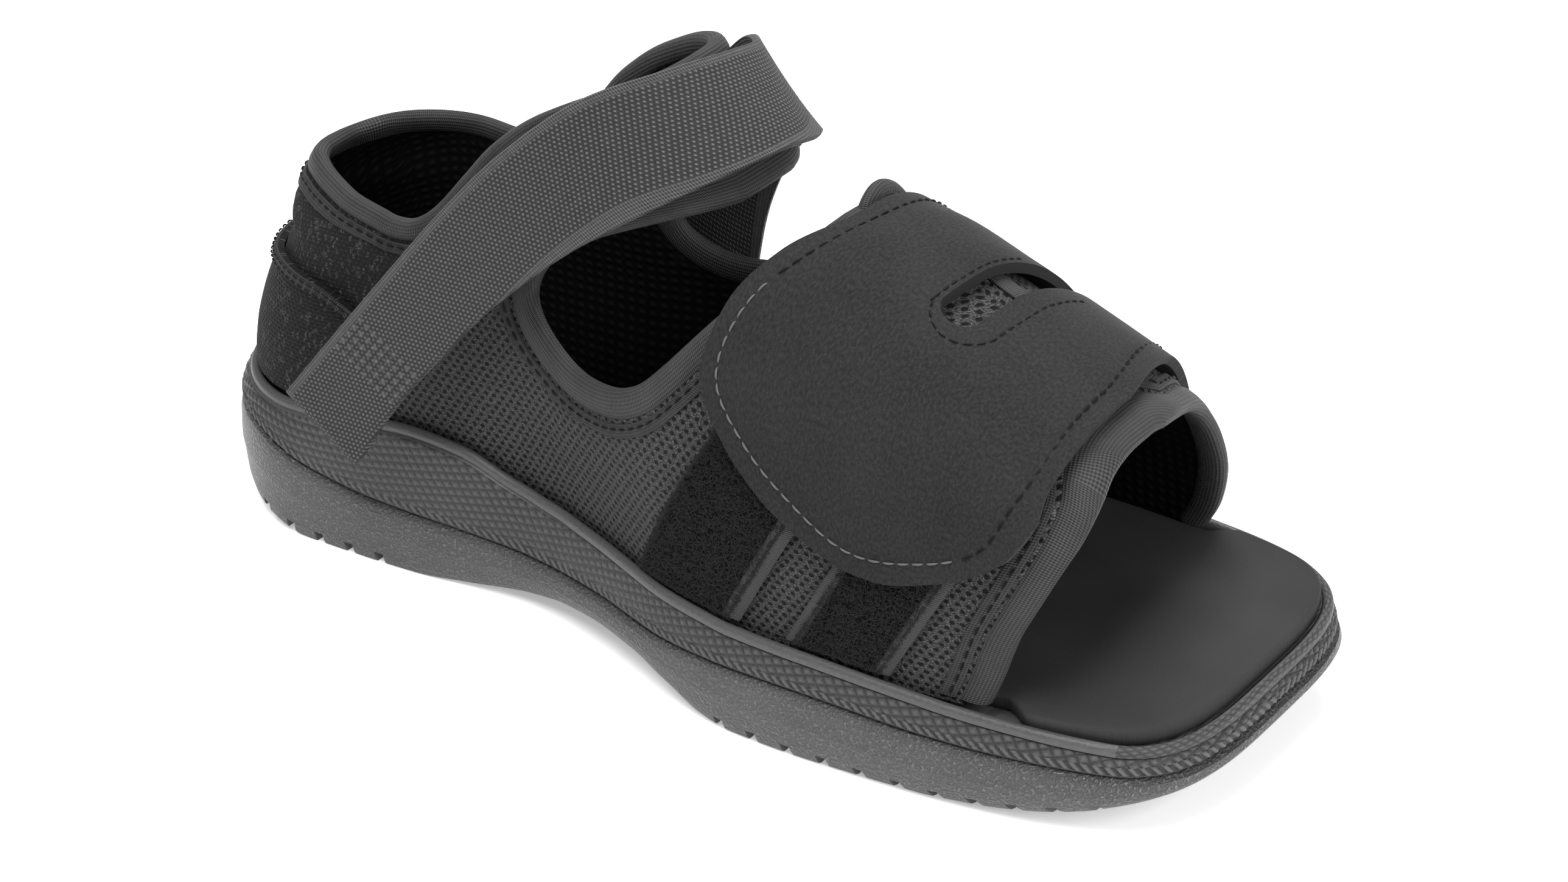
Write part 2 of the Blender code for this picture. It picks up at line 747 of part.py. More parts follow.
def evened(line, far, count, start, end):
    """Points of a fine side-view line, even on the upper's face, with its ends on the ridge or the back."""
    turn, reach = polar(line)
    within = (reach > ridge_reach(turn)) & (line[:, 0] > back_of(line[:, 1] / HEIGHT) * LENGTH)
    line = line[within]
    if start:
        line[0] = snapped(line[0], start)
    line[-1] = snapped(line[-1], end)
    run = np.append(0, np.cumsum(np.linalg.norm(np.diff(on_upper(line, far), axis=0), axis=1)))
    at = np.linspace(0, run[-1], count)
    return np.column_stack([np.interp(at, run, line[:, k]) for k in range(2)])


def collar_edge(distance, far=False, count=26):
    return evened(grown(along(from_side(COLLAR_ROWS), 300), -distance), far, count, "back", "ridge")


def throat_edge(distance, far=False, count=26):
    return evened(grown(along(from_side(THROAT_ROWS), 300), distance), far, count, "ridge", "ridge")


def toe_edge(distance, far=False, count=18):
    rows = [(row[2 if far else 1], row[0]) for row in TOE_ROWS]
    return evened(along(from_side(rows), 200) - [distance * 1.1, 0], far, count, None, "ridge")


def snapped(point, to):
    """A point of the side view moved onto the ridge or the heel's back."""
    if to == "ridge":
        turn = polar(point)[0]
        return at_polar(turn, ridge_reach(turn))
    return np.array([back_of(point[1] / HEIGHT) * LENGTH, point[1]])


def swept(name, centres, wides, thicks, closed, sides, finish):
    """A flattened bead along a line of centres."""
    form = bmesh.new()
    rings = []
    angles = np.arange(sides) * 2 * math.pi / sides
    for middle, wide, thick in zip(centres, wides, thicks):
        rings.append([form.verts.new(middle + wide * math.cos(a) + thick * math.sin(a)) for a in angles])
    pairs = list(zip(rings, rings[1:])) + ([(rings[-1], rings[0])] if closed else [])
    for one, other in pairs:
        for i in range(sides):
            j = (i + 1) % sides
            form.faces.new((one[i], one[j], other[j], other[i]))
    if not closed:
        form.faces.new(rings[0])
        form.faces.new(rings[-1])
    return finished(name, form, finish)


def binding(name, edge, width, finish, closed=True, sides=10):
    """A tape folded over an opening's edge: a flattened bead from the edge to where the upper starts."""
    halves = []
    for far in (False, True):
        halves.append([on_upper(edge(distance, far), far) for distance in (0.0, width)])
    inner = slice(1, -1) if closed else slice(1, None)
    free, root = (np.vstack([near, far[::-1][inner]]) for near, far in zip(*halves))
    if closed:
        tangent = np.roll(free + root, -1, axis=0) - np.roll(free + root, 1, axis=0)
    else:
        tangent = np.gradient(free + root, axis=0)
    across = (root - free) / 2
    out = np.cross(tangent, across)
    out /= np.linalg.norm(out, axis=1, keepdims=True)
    centre = (free + root) / 2
    inside = np.array([0.5 * LENGTH, 0, 0.3 * HEIGHT])
    out *= np.sign(np.sum(out * (centre - inside), axis=1, keepdims=True))
    centre = own_frame(centre - out * WALL / 2)
    return swept(name, centre, across, out * BINDING_THICKNESS / 2, closed, sides, finish)


# Overlays

def build_counter(cloth):
    """The padded counter panel that cups the heel, from strap to strap, above the rim."""
    top_of = through(COUNTER_TOP_ROWS, 1)
    reach = 0.205 * LENGTH
    around = np.linspace(-1, 1, 29)
    rows = []
    for part in np.linspace(0, 1, 6):
        line = []
        for place in around:
            run = abs(place) * reach * 1.12
            turn = min(run / HEEL_ROUND, math.pi / 2)
            past = max(0.0, run - HEEL_ROUND * math.pi / 2)
            distance = HEEL_ROUND * (1 - math.cos(turn)) + past
            low = rim_height(distance / LENGTH + 0.03) + 0.0012
            z = low + (top_of(distance / LENGTH) * HEIGHT - low) * part
            x = back_of(z / HEIGHT) * LENGTH + distance
            y = half_width(x, z)
            line.append((x, math.copysign(y, place) if place else 0.0, z))
        rows.append(line)
    return overlay("heel_counter", np.array(rows), GAP, COUNTER_THICKNESS, cloth)


def build_patches(pile):
    """Loop patches on the near side, which the cover flap's hook closes on."""
    made = []
    for number, (start, width) in enumerate(PATCHES, 1):
        rows = []
        for x in start * LENGTH + np.linspace(0, width * math.hypot(1, PATCH_LEAN), 7):
            low = rim_height(x / LENGTH) + 0.0012
            z = np.linspace(low, PATCH_TOP * HEIGHT, 10)
            rows.append(on_upper(np.column_stack([np.full(10, x) + PATCH_LEAN * (z - low), z])))
        made.append(overlay(f"loop_patch_{number}", np.array(rows), GAP, PATCH_THICKNESS, pile))
    return made


def across_point(across, share):
    """The point of the upper a share of the way along, and across from near foot line to far one."""
    x = share * LENGTH
    climb = 1 - abs(across)
    heights = np.linspace(FOOT, HEIGHT, 400)
    turn, reach = polar(np.column_stack([np.full(400, x), heights]))
    found = (low_reach(turn) - reach) / (low_reach(turn) - ridge_reach(turn))
    z = np.interp(math.sin(climb * math.pi / 2), found, heights)
    return on_upper(np.array([x, z]), far=across > 0) * ([1, 0, 1] if across == 0 else [1, 1, 1])


def build_cover_flap(suede):
    """The forefoot flap: sewn on the far side, over the instep, its rounded end closing on the near side."""
    rear_of, front_of = through(FLAP_ROWS, 1), through(FLAP_ROWS, 2)
    start, end = FLAP_ROWS[0][0], FLAP_ROWS[-1][0]
    round_run = 0.36
    parts = (np.linspace(0, 1, 25) ** 1.15) * (end - start) + start
    rows = []
    for across in parts:
        rear, front = rear_of(across), front_of(across)
        inward = np.clip(1 - (across - start) / round_run, 0, 1)
        keep = (1 - (0.985 * inward) ** 2.8) ** (1 / 2.3)
        middle, half = (rear + front) / 2, (front - rear) / 2 * keep
        shares = middle + half * np.sin(np.linspace(-1, 1, 11) * math.pi / 2)
        rows.append([across_point(across, share) for share in shares])
    lift = PATCH_THICKNESS + 3 * GAP
    flap = overlay("cover_flap", np.array(rows), lift, FLAP_THICKNESS, suede)
    half = SLOT_WIDTH / 2
    turns = np.linspace(0, -math.pi, 9)
    closed_end = [(SLOT_AT * LENGTH + half * math.cos(a), SLOT_START + half * math.sin(a)) for a in turns]
    lean = SLOT_LEAN * BALL_WIDTH
    open_end = [(x + lean, BALL_WIDTH) for x, _ in (closed_end[-1], closed_end[0])]
    cut(flap, prism("slot", closed_end + open_end, SOLE_DEPTH, 1.2 * HEIGHT, upright=True))
    return flap


def build_ankle_flap(cloth):
    """The near ankle flap, which ends over the far one at the instep, between the collar and the throat."""
    behind = collar_edge(COLLAR_BINDING_WIDTH + 0.0018, count=200)
    ahead = throat_edge(THROAT_BINDING_WIDTH + 0.0022, count=200)
    rows = []
    for way in np.linspace(ANKLE_FLAP_NEAR, 0.94, 12):
        start, end = behind[round(199 * (0.50 + 0.50 * way))], ahead[round(199 * (0.60 + 0.40 * way))]
        rows.append(on_upper(start + (end - start) * np.linspace(0, 1, 7)[:, None]))
    fade = np.clip(np.arange(len(rows)) / 3, 0.3, 1)[:, None]
    return overlay("ankle_flap", np.array(rows), 2 * GAP, ANKLE_FLAP_THICKNESS * fade, cloth)


def build_strap(webbing):
    """The ankle webbing: from the far side over the instep, its end hanging free over the near rim."""
    table = np.array(STRAP_ROWS)
    scale = [LENGTH, BALL_WIDTH / 2, HEIGHT]
    rear = along(table[:, :3] * scale, 34)
    front = along(table[:, 3:] * scale, 34)
    spread = np.linspace(0, 1, 4)
    grid = np.array([rear + (front - rear) * part for part in spread])
    return overlay("ankle_strap", grid, 2 * GAP, STRAP_THICKNESS, webbing)


def build():
    clear_scene()
    rubber = material("sole_rubber", (0.055, 0.055, 0.058), 0.5)
    band = material("band_rubber", (0.040, 0.040, 0.043), 0.6)
    foam = material("insole_foam", (0.050, 0.050, 0.053), 0.85)
    mesh = material("mesh_fabric", (0.018, 0.018, 0.020), 0.9)
    padding = material("counter_fabric", (0.015, 0.015, 0.017), 0.95)
    tape = material("binding_tape", (0.060, 0.060, 0.063), 0.6)
    pile = material("loop_pile", (0.010, 0.010, 0.011), 1.0)
    suede = material("flap_suede", (0.030, 0.030, 0.031), 0.9)
    webbing = material("strap_webbing", (0.050, 0.050, 0.052), 0.8)
    build_outsole(rubber)
    build_midsole(band)
    build_insole(foam)
    build_upper(mesh)
    binding("collar_binding", collar_edge, COLLAR_BINDING_WIDTH, tape)
    binding("throat_binding", throat_edge, THROAT_BINDING_WIDTH, tape)
    binding("toe_binding", toe_edge, TOE_BINDING_WIDTH, tape, closed=False)
    build_counter(padding)
    build_patches(pile)
    build_cover_flap(suede)
    build_ankle_flap(mesh)
    build_strap(webbing)


build()
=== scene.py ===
"""The looks of the post operative shoe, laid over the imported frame. X runs from heel to toe, Z is up, and the
near side is -Y. Lengths are in metres, and a UV map holds millimetres along a piece."""

import math

import bmesh
import bpy
import numpy as np
from mathutils import Matrix, Vector
from mathutils.geometry import delaunay_2d_cdt


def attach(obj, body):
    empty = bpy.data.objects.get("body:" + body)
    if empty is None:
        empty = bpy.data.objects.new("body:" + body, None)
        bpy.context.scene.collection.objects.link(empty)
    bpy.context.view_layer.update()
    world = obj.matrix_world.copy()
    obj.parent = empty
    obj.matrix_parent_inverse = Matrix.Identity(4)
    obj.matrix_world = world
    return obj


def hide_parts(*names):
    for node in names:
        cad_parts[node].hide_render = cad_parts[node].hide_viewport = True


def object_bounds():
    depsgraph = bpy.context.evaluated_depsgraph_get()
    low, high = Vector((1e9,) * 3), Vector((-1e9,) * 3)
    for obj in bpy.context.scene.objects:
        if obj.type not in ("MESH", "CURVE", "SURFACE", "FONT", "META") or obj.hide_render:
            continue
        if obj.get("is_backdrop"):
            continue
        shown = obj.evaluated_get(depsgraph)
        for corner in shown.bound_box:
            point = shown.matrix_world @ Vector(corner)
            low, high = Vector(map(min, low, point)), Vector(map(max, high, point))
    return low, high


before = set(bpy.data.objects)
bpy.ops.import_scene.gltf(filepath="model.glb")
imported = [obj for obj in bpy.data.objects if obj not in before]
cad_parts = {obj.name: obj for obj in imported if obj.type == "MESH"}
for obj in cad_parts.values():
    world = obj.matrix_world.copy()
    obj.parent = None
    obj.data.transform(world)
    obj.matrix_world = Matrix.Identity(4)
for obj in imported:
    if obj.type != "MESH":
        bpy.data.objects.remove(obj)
CAD_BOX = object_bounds()

# Outsole
# The tread is one casting of black rubber. Its stippled side swells over a tucked underside, the arch and the
# toe stand clear of the ground, and cross grooves are cut through heel and forefoot.

LENGTH = 0.284
BALL_WIDTH = 0.1055
SOLE_DEPTH = 0.0266
HEEL_REST_SHARE = 0.200
GAP = 0.0003
BAND_STEP = 0.0016
UNDER_TUCK = 0.0042
STEP_IN = 0.0034
FLOOR_THICKNESS = 0.0040
GROOVE_WIDTH = 0.0027
GROOVE_DEPTH = 0.0030
GROOVE_PITCH = 0.0094
INSOLE_THICKNESS = 0.0038

# Sole along its length: half width as a share of half the ball width, how far the tread tucks under as a
# share of UNDER_TUCK, and heights of the underside, the split line and the rim as shares of SOLE_DEPTH
SOLE_ROWS = [
    # share, half, tuck, under, split, rim
    (0.000, 0.660, 0.400, 0.320, 1.038, 1.370),
    (0.035, 0.660, 0.400, 0.210, 1.020, 1.350),
    (0.070, 0.660, 0.400, 0.120, 0.970, 1.335),
    (0.105, 0.660, 0.400, 0.040, 0.850, 1.325),
    (0.130, 0.660, 0.400, 0.000, 0.755, 1.325),
    (0.160, 0.660, 0.400, 0.000, 0.690, 1.350),
    (0.200, 0.658, 0.400, 0.000, 0.630, 1.395),
    (0.245, 0.652, 0.450, 0.000, 0.600, 1.430),
    (0.300, 0.637, 0.650, 0.045, 0.570, 1.370),
    (0.350, 0.627, 0.850, 0.110, 0.540, 1.190),
    (0.390, 0.648, 0.950, 0.165, 0.525, 1.110),
    (0.425, 0.698, 1.000, 0.210, 0.540, 1.085),
    (0.460, 0.760, 1.000, 0.240, 0.565, 1.075),
    (0.500, 0.840, 0.950, 0.235, 0.575, 1.065),
    (0.540, 0.915, 0.800, 0.160, 0.590, 1.055),
    (0.580, 0.961, 0.650, 0.040, 0.610, 1.040),
    (0.615, 0.985, 0.600, 0.000, 0.625, 1.020),
    (0.680, 1.000, 0.700, 0.000, 0.640, 1.015),
    (0.730, 0.998, 0.900, 0.000, 0.630, 1.000),
    (0.780, 0.988, 1.100, 0.000, 0.610, 0.975),
    (0.830, 0.968, 1.200, 0.035, 0.605, 0.945),
    (0.880, 0.940, 1.200, 0.120, 0.620, 0.935),
    (0.925, 0.900, 1.200, 0.235, 0.630, 0.920),
    (0.960, 0.870, 1.200, 0.350, 0.620, 0.890),
    (1.000, 0.835, 1.200, 0.450, 0.600, 0.870),
]
FLOOR = SOLE_DEPTH - INSOLE_THICKNESS - GAP
TOE_ROUND, TOE_SQUARE = 0.120, 3.6

# The tread's side from underneath up: share of the tuck, metres in from the outline, part of the way up
TREAD_ROWS = [
    (1.00, 0.0000, 0.00),
    (0.72, 0.0000, 0.03),
    (0.38, 0.0000, 0.15),
    (0.14, 0.0002, 0.28),
    (0.00, 0.0003, 0.42),
    (0.00, 0.0000, 0.56),
    (0.00, 0.0002, 0.70),
    (0.00, 0.0005, 0.86),
]
GROOVED = [(0.078, 0.235), (0.603, 0.960)]


def through(rows, column):
    """A smooth curve through one column of a table against its first column, flat where the table is flat."""
    xs = np.array([row[0] for row in rows])
    ys = np.array([row[column] for row in rows])
    steps = np.diff(xs)
    slopes = np.diff(ys) / steps
    tangents = np.zeros_like(ys)
    same = slopes[1:] * slopes[:-1] > 0
    pair = slopes[1:] + slopes[:-1]
    tangents[1:-1][same] = 2 * slopes[1:][same] * slopes[:-1][same] / pair[same]
    tangents[0], tangents[-1] = slopes[0], slopes[-1]

    def value(x):
        x = np.clip(x, xs[0], xs[-1])
        i = np.clip(np.searchsorted(xs, x) - 1, 0, len(steps) - 1)
        t = (x - xs[i]) / steps[i]
        from_left = ys[i] * (1 + 2 * t) + tangents[i] * steps[i] * t
        from_right = ys[i + 1] * (3 - 2 * t) - tangents[i + 1] * steps[i] * (1 - t)
        return from_left * (1 - t) ** 2 + from_right * t**2

    return value


def placed(at, run, line):
    """Points of a line at the given running lengths."""
    return np.column_stack([np.interp(at, run, column) for column in np.transpose(line)])


half_of = through(SOLE_ROWS, 1)


def straight_half(x):
    """Half width of the sole's outline without its rounded ends."""
    return half_of(x / LENGTH) * BALL_WIDTH / 2


def plan_half(x):
    """Half width of the sole's outline, round at the heel and squared off at the toe."""
    heel = half_of(0.0) * BALL_WIDTH / 2
    toe = TOE_ROUND * LENGTH
    from_back = np.clip(1 - x / heel, 0, 1)
    from_front = np.clip(1 - (LENGTH - x) / toe, 0, 1)
    return straight_half(x) * np.sqrt(1 - from_back**2) * (1 - from_front**TOE_SQUARE) ** (1 / TOE_SQUARE)


def sole_outline(count):
    """Points and outward directions on one half of the sole's outline, closer together where it turns."""
    turn = np.linspace(0, math.pi, 1500)
    x = LENGTH * (1 - np.cos(turn)) / 2
    line = np.column_stack([x, -plan_half(x)])
    ahead = np.diff(line, axis=0)
    run = np.linalg.norm(ahead, axis=1)
    heading = np.unwrap(np.arctan2(ahead[:, 1], ahead[:, 0]))
    bend = np.abs(np.diff(heading, prepend=heading[0]))
    weight = np.append(0, np.cumsum(run / run.sum() + 0.8 * bend / bend.sum()))
    at = np.linspace(0, weight[-1], count + 1)
    points = placed(at, weight, line)
    middle = (weight[1:] + weight[:-1]) / 2
    facing = np.interp(at, middle, heading)
    outward = np.column_stack([np.sin(facing), -np.cos(facing)])
    outward[0], outward[-1] = (-1, 0), (1, 0)
    points[0, 1] = points[-1, 1] = 0
    return points, outward


OUTLINE, OUTWARD = sole_outline(230)
tuck_of = through(SOLE_ROWS, 2)
under_of = through(SOLE_ROWS, 3)
split_of = through(SOLE_ROWS, 4)


def ring(inset, height):
    """One half ring of the sole, in from the outline, at a height that follows the length."""
    inset = inset(OUTLINE[:, 0] / LENGTH) if callable(inset) else inset
    plan = OUTLINE - OUTWARD * np.reshape(inset, (-1, 1))
    return np.column_stack([plan, height(OUTLINE[:, 0] / LENGTH)])


def under_height(share):
    return under_of(share) * SOLE_DEPTH


def split_height(share):
    return split_of(share) * SOLE_DEPTH


def between(low, high, part):
    """A height that is a part of the way from one height to another, all the length of the sole."""
    return lambda share: low(share) + part * (high(share) - low(share))


outsole_rings = [
    ring(lambda s: UNDER_TUCK * tucked * tuck_of(s) + inset, between(under_height, split_height, part))
    for tucked, inset, part in TREAD_ROWS
]


def raised(height, rise):
    """A height lifted by a fixed rise, all the length of the sole."""
    return lambda share: height(share) + rise


def plateau(share):
    """The outsole's top inside its perimeter, low enough for the tray's floor."""
    return np.minimum(split_height(share), FLOOR - FLOOR_THICKNESS)


outsole_rings += [
    ring(0.0010, raised(split_height, -0.0007)),
    ring(0.0018, raised(split_height, -0.0001)),
    ring(BAND_STEP + 0.0012, split_height),
    ring(STEP_IN, split_height),
    ring(STEP_IN + 0.0006, plateau),
]


def run_of(path):
    """Running length from the start of a line of points."""
    return np.append(0, np.cumsum(np.linalg.norm(np.diff(path, axis=0), axis=1)))


def quads(rows, wide):
    """Faces of a grid of points."""
    return [
        [i * wide + j, i * wide + j + 1, (i + 1) * wide + j + 1, (i + 1) * wide + j]
        for i in range(rows - 1)
        for j in range(wide - 1)
    ]


def own_frame(points):
    """From heel-back measures to the part's own frame, whose origin is the heel's rest."""
    return np.asarray(points, float) - [HEEL_REST_SHARE * LENGTH, 0, 0]


class Value:
    """A shader socket that Python's own arithmetic works on."""

    def __init__(self, finish, socket):
        self.finish, self.socket = finish, socket

    def maths(self, operation, *values):
        return self.finish.node("ShaderNodeMath", {"operation": operation}, dict(enumerate(values)))

    def __add__(self, other):
        return self.maths("ADD", self, other)

    def __sub__(self, other):
        return self.maths("SUBTRACT", self, other)

    def __mul__(self, other):
        return self.maths("MULTIPLY", self, other)

    def __truediv__(self, other):
        return self.maths("DIVIDE", self, other)

    def __rsub__(self, other):
        return self.maths("SUBTRACT", other, self)

    def __rtruediv__(self, other):
        return self.maths("DIVIDE", other, self)

    def __pow__(self, other):
        return self.maths("POWER", self, other)

    def __mod__(self, other):
        return self.maths("FLOORED_MODULO", self, other)

    def __lt__(self, other):
        return self.maths("LESS_THAN", self, other)

    def __gt__(self, other):
        return self.maths("GREATER_THAN", self, other)

    __radd__, __rmul__ = __add__, __mul__

    def sine(self):
        return self.maths("SINE", self)

    def fraction(self):
        return self.maths("FRACT", self)

    def floor(self):
        return self.maths("FLOOR", self)

    def size(self):
        return self.maths("ABSOLUTE", self)

    def most(self, other):
        return self.maths("MAXIMUM", self, other)

    def rise(self, low, high):
        """0 below low, 1 above high, smooth between."""
        sockets = {"Value": self, "From Min": low, "From Max": high}
        return self.finish.node("ShaderNodeMapRange", {"interpolation_type": "SMOOTHSTEP"}, sockets)


class Finish:
    """A material whose pattern is drawn over the piece's UV map, in millimetres."""

    TINT = {"Red": 1.0, "Green": 1.0, "Blue": 1.03}

    def __init__(self, name, roughness=0.8, sheen=0.0, specular=0.12):
        self.made = bpy.data.materials.new(name)
        self.made.use_nodes = True
        self.tree = self.made.node_tree
        self.shader = self.tree.nodes["Principled BSDF"]
        self.set("Roughness", roughness)
        self.set("Sheen Weight", sheen)
        self.set("Sheen Roughness", 0.4)
        self.set("Specular IOR Level", specular)
        self.u = self.node("ShaderNodeSeparateXYZ", {}, {"Vector": self.node("ShaderNodeUVMap", {}, {})})
        self.v = Value(self, self.u.socket.node.outputs["Y"])

    def feed(self, slot, value):
        if isinstance(value, Value):
            self.tree.links.new(value.socket, slot)
        else:
            slot.default_value = value

    def set(self, name, value):
        self.feed(self.shader.inputs[name], value)

    def node(self, kind, settings, sockets):
        """A new node's first output. Its settings come first, then the values or links of its sockets."""
        made = self.tree.nodes.new(kind)
        for name, value in settings.items():
            setattr(made, name, value)
        for name, value in sockets.items():
            self.feed(made.inputs[name], value)
        return Value(self, made.outputs[0])

    def point(self, u, v):
        return self.node("ShaderNodeCombineXYZ", {}, {"X": u, "Y": v})

    def noise(self, scale, detail=2.0, u=None, v=None):
        sockets = {"Vector": self.point(u or self.u, v or self.v), "Scale": scale, "Detail": detail}
        return self.node("ShaderNodeTexNoise", {}, sockets)

    def speck(self, cell_u, cell_v):
        """A random number for each cell of a grid."""
        cell = self.point((self.u / cell_u).floor(), (self.v / cell_v).floor())
        return self.node("ShaderNodeTexWhiteNoise", {}, {"Vector": cell})

    def grey(self, value):
        channels = {name: value * part for name, part in self.TINT.items()}
        self.set("Base Color", self.node("ShaderNodeCombineColor", {}, channels))

    def relief(self, height, depth):
        sockets = {"Height": height, "Distance": depth, "Strength": 1.0}
        self.set("Normal", self.node("ShaderNodeBump", {}, sockets))
        return self


def rubber_side():
    """Black rubber with a fine cast stipple."""
    look = Finish("sole_rubber", 0.46, specular=0.45)
    fine, broad = look.noise(1.3, 3.0), look.noise(0.06, 1.0)
    look.grey(broad * 0.030 + fine.rise(0.35, 0.7) * 0.045 + 0.032)
    look.set("Roughness", fine * 0.2 + 0.30)
    return look.relief(fine.rise(0.35, 0.65), 0.00065)


def built(name, points, faces, finishes, maps=None, bands=None, stands_for=(), cad_slot=None):
    """A mesh object that rides on the shoe, with millimetre UVs for each point."""
    mesh = bpy.data.meshes.new(name)
    mesh.from_pydata([tuple(p) for p in points], [], faces)
    for finish in finishes:
        mesh.materials.append(finish.made)
    if bands is not None:
        mesh.polygons.foreach_set("material_index", bands)
    if maps is not None:
        layer = mesh.uv_layers.new(name="UVMap")
        corners = np.empty(len(mesh.loops), np.int32)
        mesh.loops.foreach_get("vertex_index", corners)
        layer.uv.foreach_set("vector", np.asarray(maps, np.float32)[corners].ravel())
    mesh.validate()
    mesh.shade_smooth()
    mesh.set_sharp_from_angle(angle=math.radians(50))
    piece = bpy.data.objects.new(name, mesh)
    bpy.context.scene.collection.objects.link(piece)
    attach(piece, "root")
    if stands_for:
        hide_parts(*stands_for)
    return piece


def turned_out(piece, weld=False):
    """Makes every face of a closed piece look outward, once the points that coincide are welded if asked."""
    form = bmesh.new()
    form.from_mesh(piece.data)
    if weld:
        bmesh.ops.remove_doubles(form, verts=form.verts, dist=1e-6)
    bmesh.ops.recalc_face_normals(form, faces=form.faces)
    form.to_mesh(piece.data)
    form.free()
    return piece


def runs(grid, axis):
    """Running length in millimetres along one axis of a grid of points."""
    steps = np.linalg.norm(np.diff(grid, axis=axis), axis=2)
    pad = [(0, 0), (0, 0)]
    pad[axis] = (1, 0)
    return np.cumsum(np.pad(steps, pad), axis=axis) * 1000


def rings_mesh(name, rings, finishes, band_of, half_chart=None, **said):
    """A closed solid from half rings of the sole, mirrored to the far side and capped."""
    loops = np.array([np.vstack([half, (half * [1, -1, 1])[-2:0:-1]]) for half in rings])
    count, around = loops.shape[:2]
    closed = np.concatenate([loops, loops[:, :1]], axis=1)
    if half_chart is None:
        middle = closed[count // 2]
        along_run, up_run = run_of(middle) * 1000, runs(closed, 0)
        chart = np.stack([np.broadcast_to(along_run, up_run.shape), up_run], axis=-1)
    else:
        chart = np.concatenate([half_chart, half_chart[:, -2:0:-1], half_chart[:, :1]], axis=1)
    wide = around + 1
    faces = quads(count, wide)
    bands = [band_of(i) for i in range(count - 1) for _ in range(around)]
    for row, band in ((0, band_of(0)), (count - 1, band_of(count - 2))):
        for j in range(around // 2):
            across = (j, j + 1, around - j - 1, (around - j) % around)
            faces.append(list(dict.fromkeys(row * wide + k for k in across)))
            bands.append(band)
    faces = [face for face in faces if len(face) > 2]
    bands = bands[: len(faces)]
    points = own_frame(closed.reshape(-1, 3))
    piece = built(name, points, faces, finishes, chart.reshape(-1, 2), bands, **said)
    return turned_out(piece, weld=True)


outsole = rings_mesh(
    "outsole_look",
    outsole_rings,
    [rubber_side()],
    lambda row: 0,
    stands_for=["outsole"],
    cad_slot="sole_rubber",
)
grooves = bmesh.new()
for start, end in GROOVED:
    for i in range(int((end - start) * LENGTH / GROOVE_PITCH) + 1):
        share = start + i * GROOVE_PITCH / LENGTH
        slope = (under_height(share + 0.01) - under_height(share - 0.01)) / (0.02 * LENGTH)
        spot = own_frame([(share * LENGTH, 0, float(under_height(share)))])[0]
        shape = Matrix.Translation(spot) @ Matrix.Rotation(-math.atan(slope), 4, "Y")
        shape = shape @ Matrix.Diagonal((GROOVE_WIDTH, BALL_WIDTH * 1.1, 2 * GROOVE_DEPTH, 1))
        bmesh.ops.create_cube(grooves, size=1, matrix=shape)
groove_mesh = bpy.data.meshes.new("grooves")
grooves.to_mesh(groove_mesh)
grooves.free()
groove_tool = bpy.data.objects.new("grooves", groove_mesh)
bpy.context.scene.collection.objects.link(groove_tool)


def cut_and_keep(piece, tool):
    """Cuts a tool from a piece, keeps the result as the piece's mesh and removes the tool."""
    boolean = piece.modifiers.new("cut", "BOOLEAN")
    boolean.operation, boolean.solver, boolean.object = "DIFFERENCE", "EXACT", tool
    bpy.context.view_layer.update()
    made = bpy.data.meshes.new_from_object(piece.evaluated_get(bpy.context.evaluated_depsgraph_get()))
    piece.modifiers.clear()
    piece.data = made
    bpy.data.objects.remove(tool)


cut_and_keep(outsole, groove_tool)

# Midsole
# A tray of harder rubber cemented onto the tread. Its band leans in, knurled with diamonds over a row of
# slanted marks. A round bead runs along the rim, and the floor inside carries the insole.

BAND_LEAN = 0.0016
BEAD_WIDTH = 0.0026
BEAD_RISE = 0.0016
WALL = 0.0028

# How far the upper's foot line stands in from the sole's outline, as a share of WALL, along the length
FOOT_INSET_ROWS = [(0.00, 2.30), (0.30, 2.20), (0.55, 1.75), (0.80, 1.60), (1.00, 1.60)]
KNURL_ACROSS, KNURL_UP, KNURL_DEPTH = 2.7, 1.9, 0.00050
KNURL_FOOT = 2.0
SLANT, FOOT_SLANT, FOOT_PITCH = 0.35, 0.35, 2.6
OUTLINE, OUTWARD = sole_outline(640)
RUN = run_of(OUTLINE) * 1000


def knurl(run, up):
    """Height of the diamonds from 0 to 1, and of the slanted marks along the band's foot, in millimetres."""
    one = (run / KNURL_ACROSS + up / KNURL_UP * 0.5) % 1 - 0.5
    two = (run / KNURL_ACROSS * SLANT - up / KNURL_UP) % 1 - 0.5
    diamonds = 1 - 2 * np.maximum(abs(one), abs(two))
    mark = (run / FOOT_PITCH + up * FOOT_SLANT) % 1 - 0.5
    marks = np.clip((0.36 - abs(mark)) / 0.24, 0, 1) * (up > 0.3)
    return np.where(up < KNURL_FOOT, marks, diamonds)


foot_inset_of = through(FOOT_INSET_ROWS, 1)


def lip_inset(share):
    """Inset of the tray's inner lip, just outside the upper's foot line."""
    return foot_inset_of(share) * WALL


def bead_out(share):
    return lip_inset(share) - BEAD_WIDTH


def band_top(share):
    return np.minimum(BAND_STEP + BAND_LEAN, bead_out(share) + 0.0008) + 0 * share


rim_of = through(SOLE_ROWS, 5)


def rim_height(share):
    return rim_of(share) * SOLE_DEPTH


def bead_at(turn):
    """A ring of the rim's round bead, a turn in degrees from its outer side."""
    angle = math.radians(turn)
    return ring(
        lambda s: lip_inset(s) - BEAD_WIDTH / 2 - math.cos(angle) * BEAD_WIDTH / 2,
        raised(rim_height, -BEAD_RISE * (1 - math.sin(angle))),
    )


def well(share):
    return np.minimum(rim_height(share) - 0.0004, FLOOR + 0 * share)


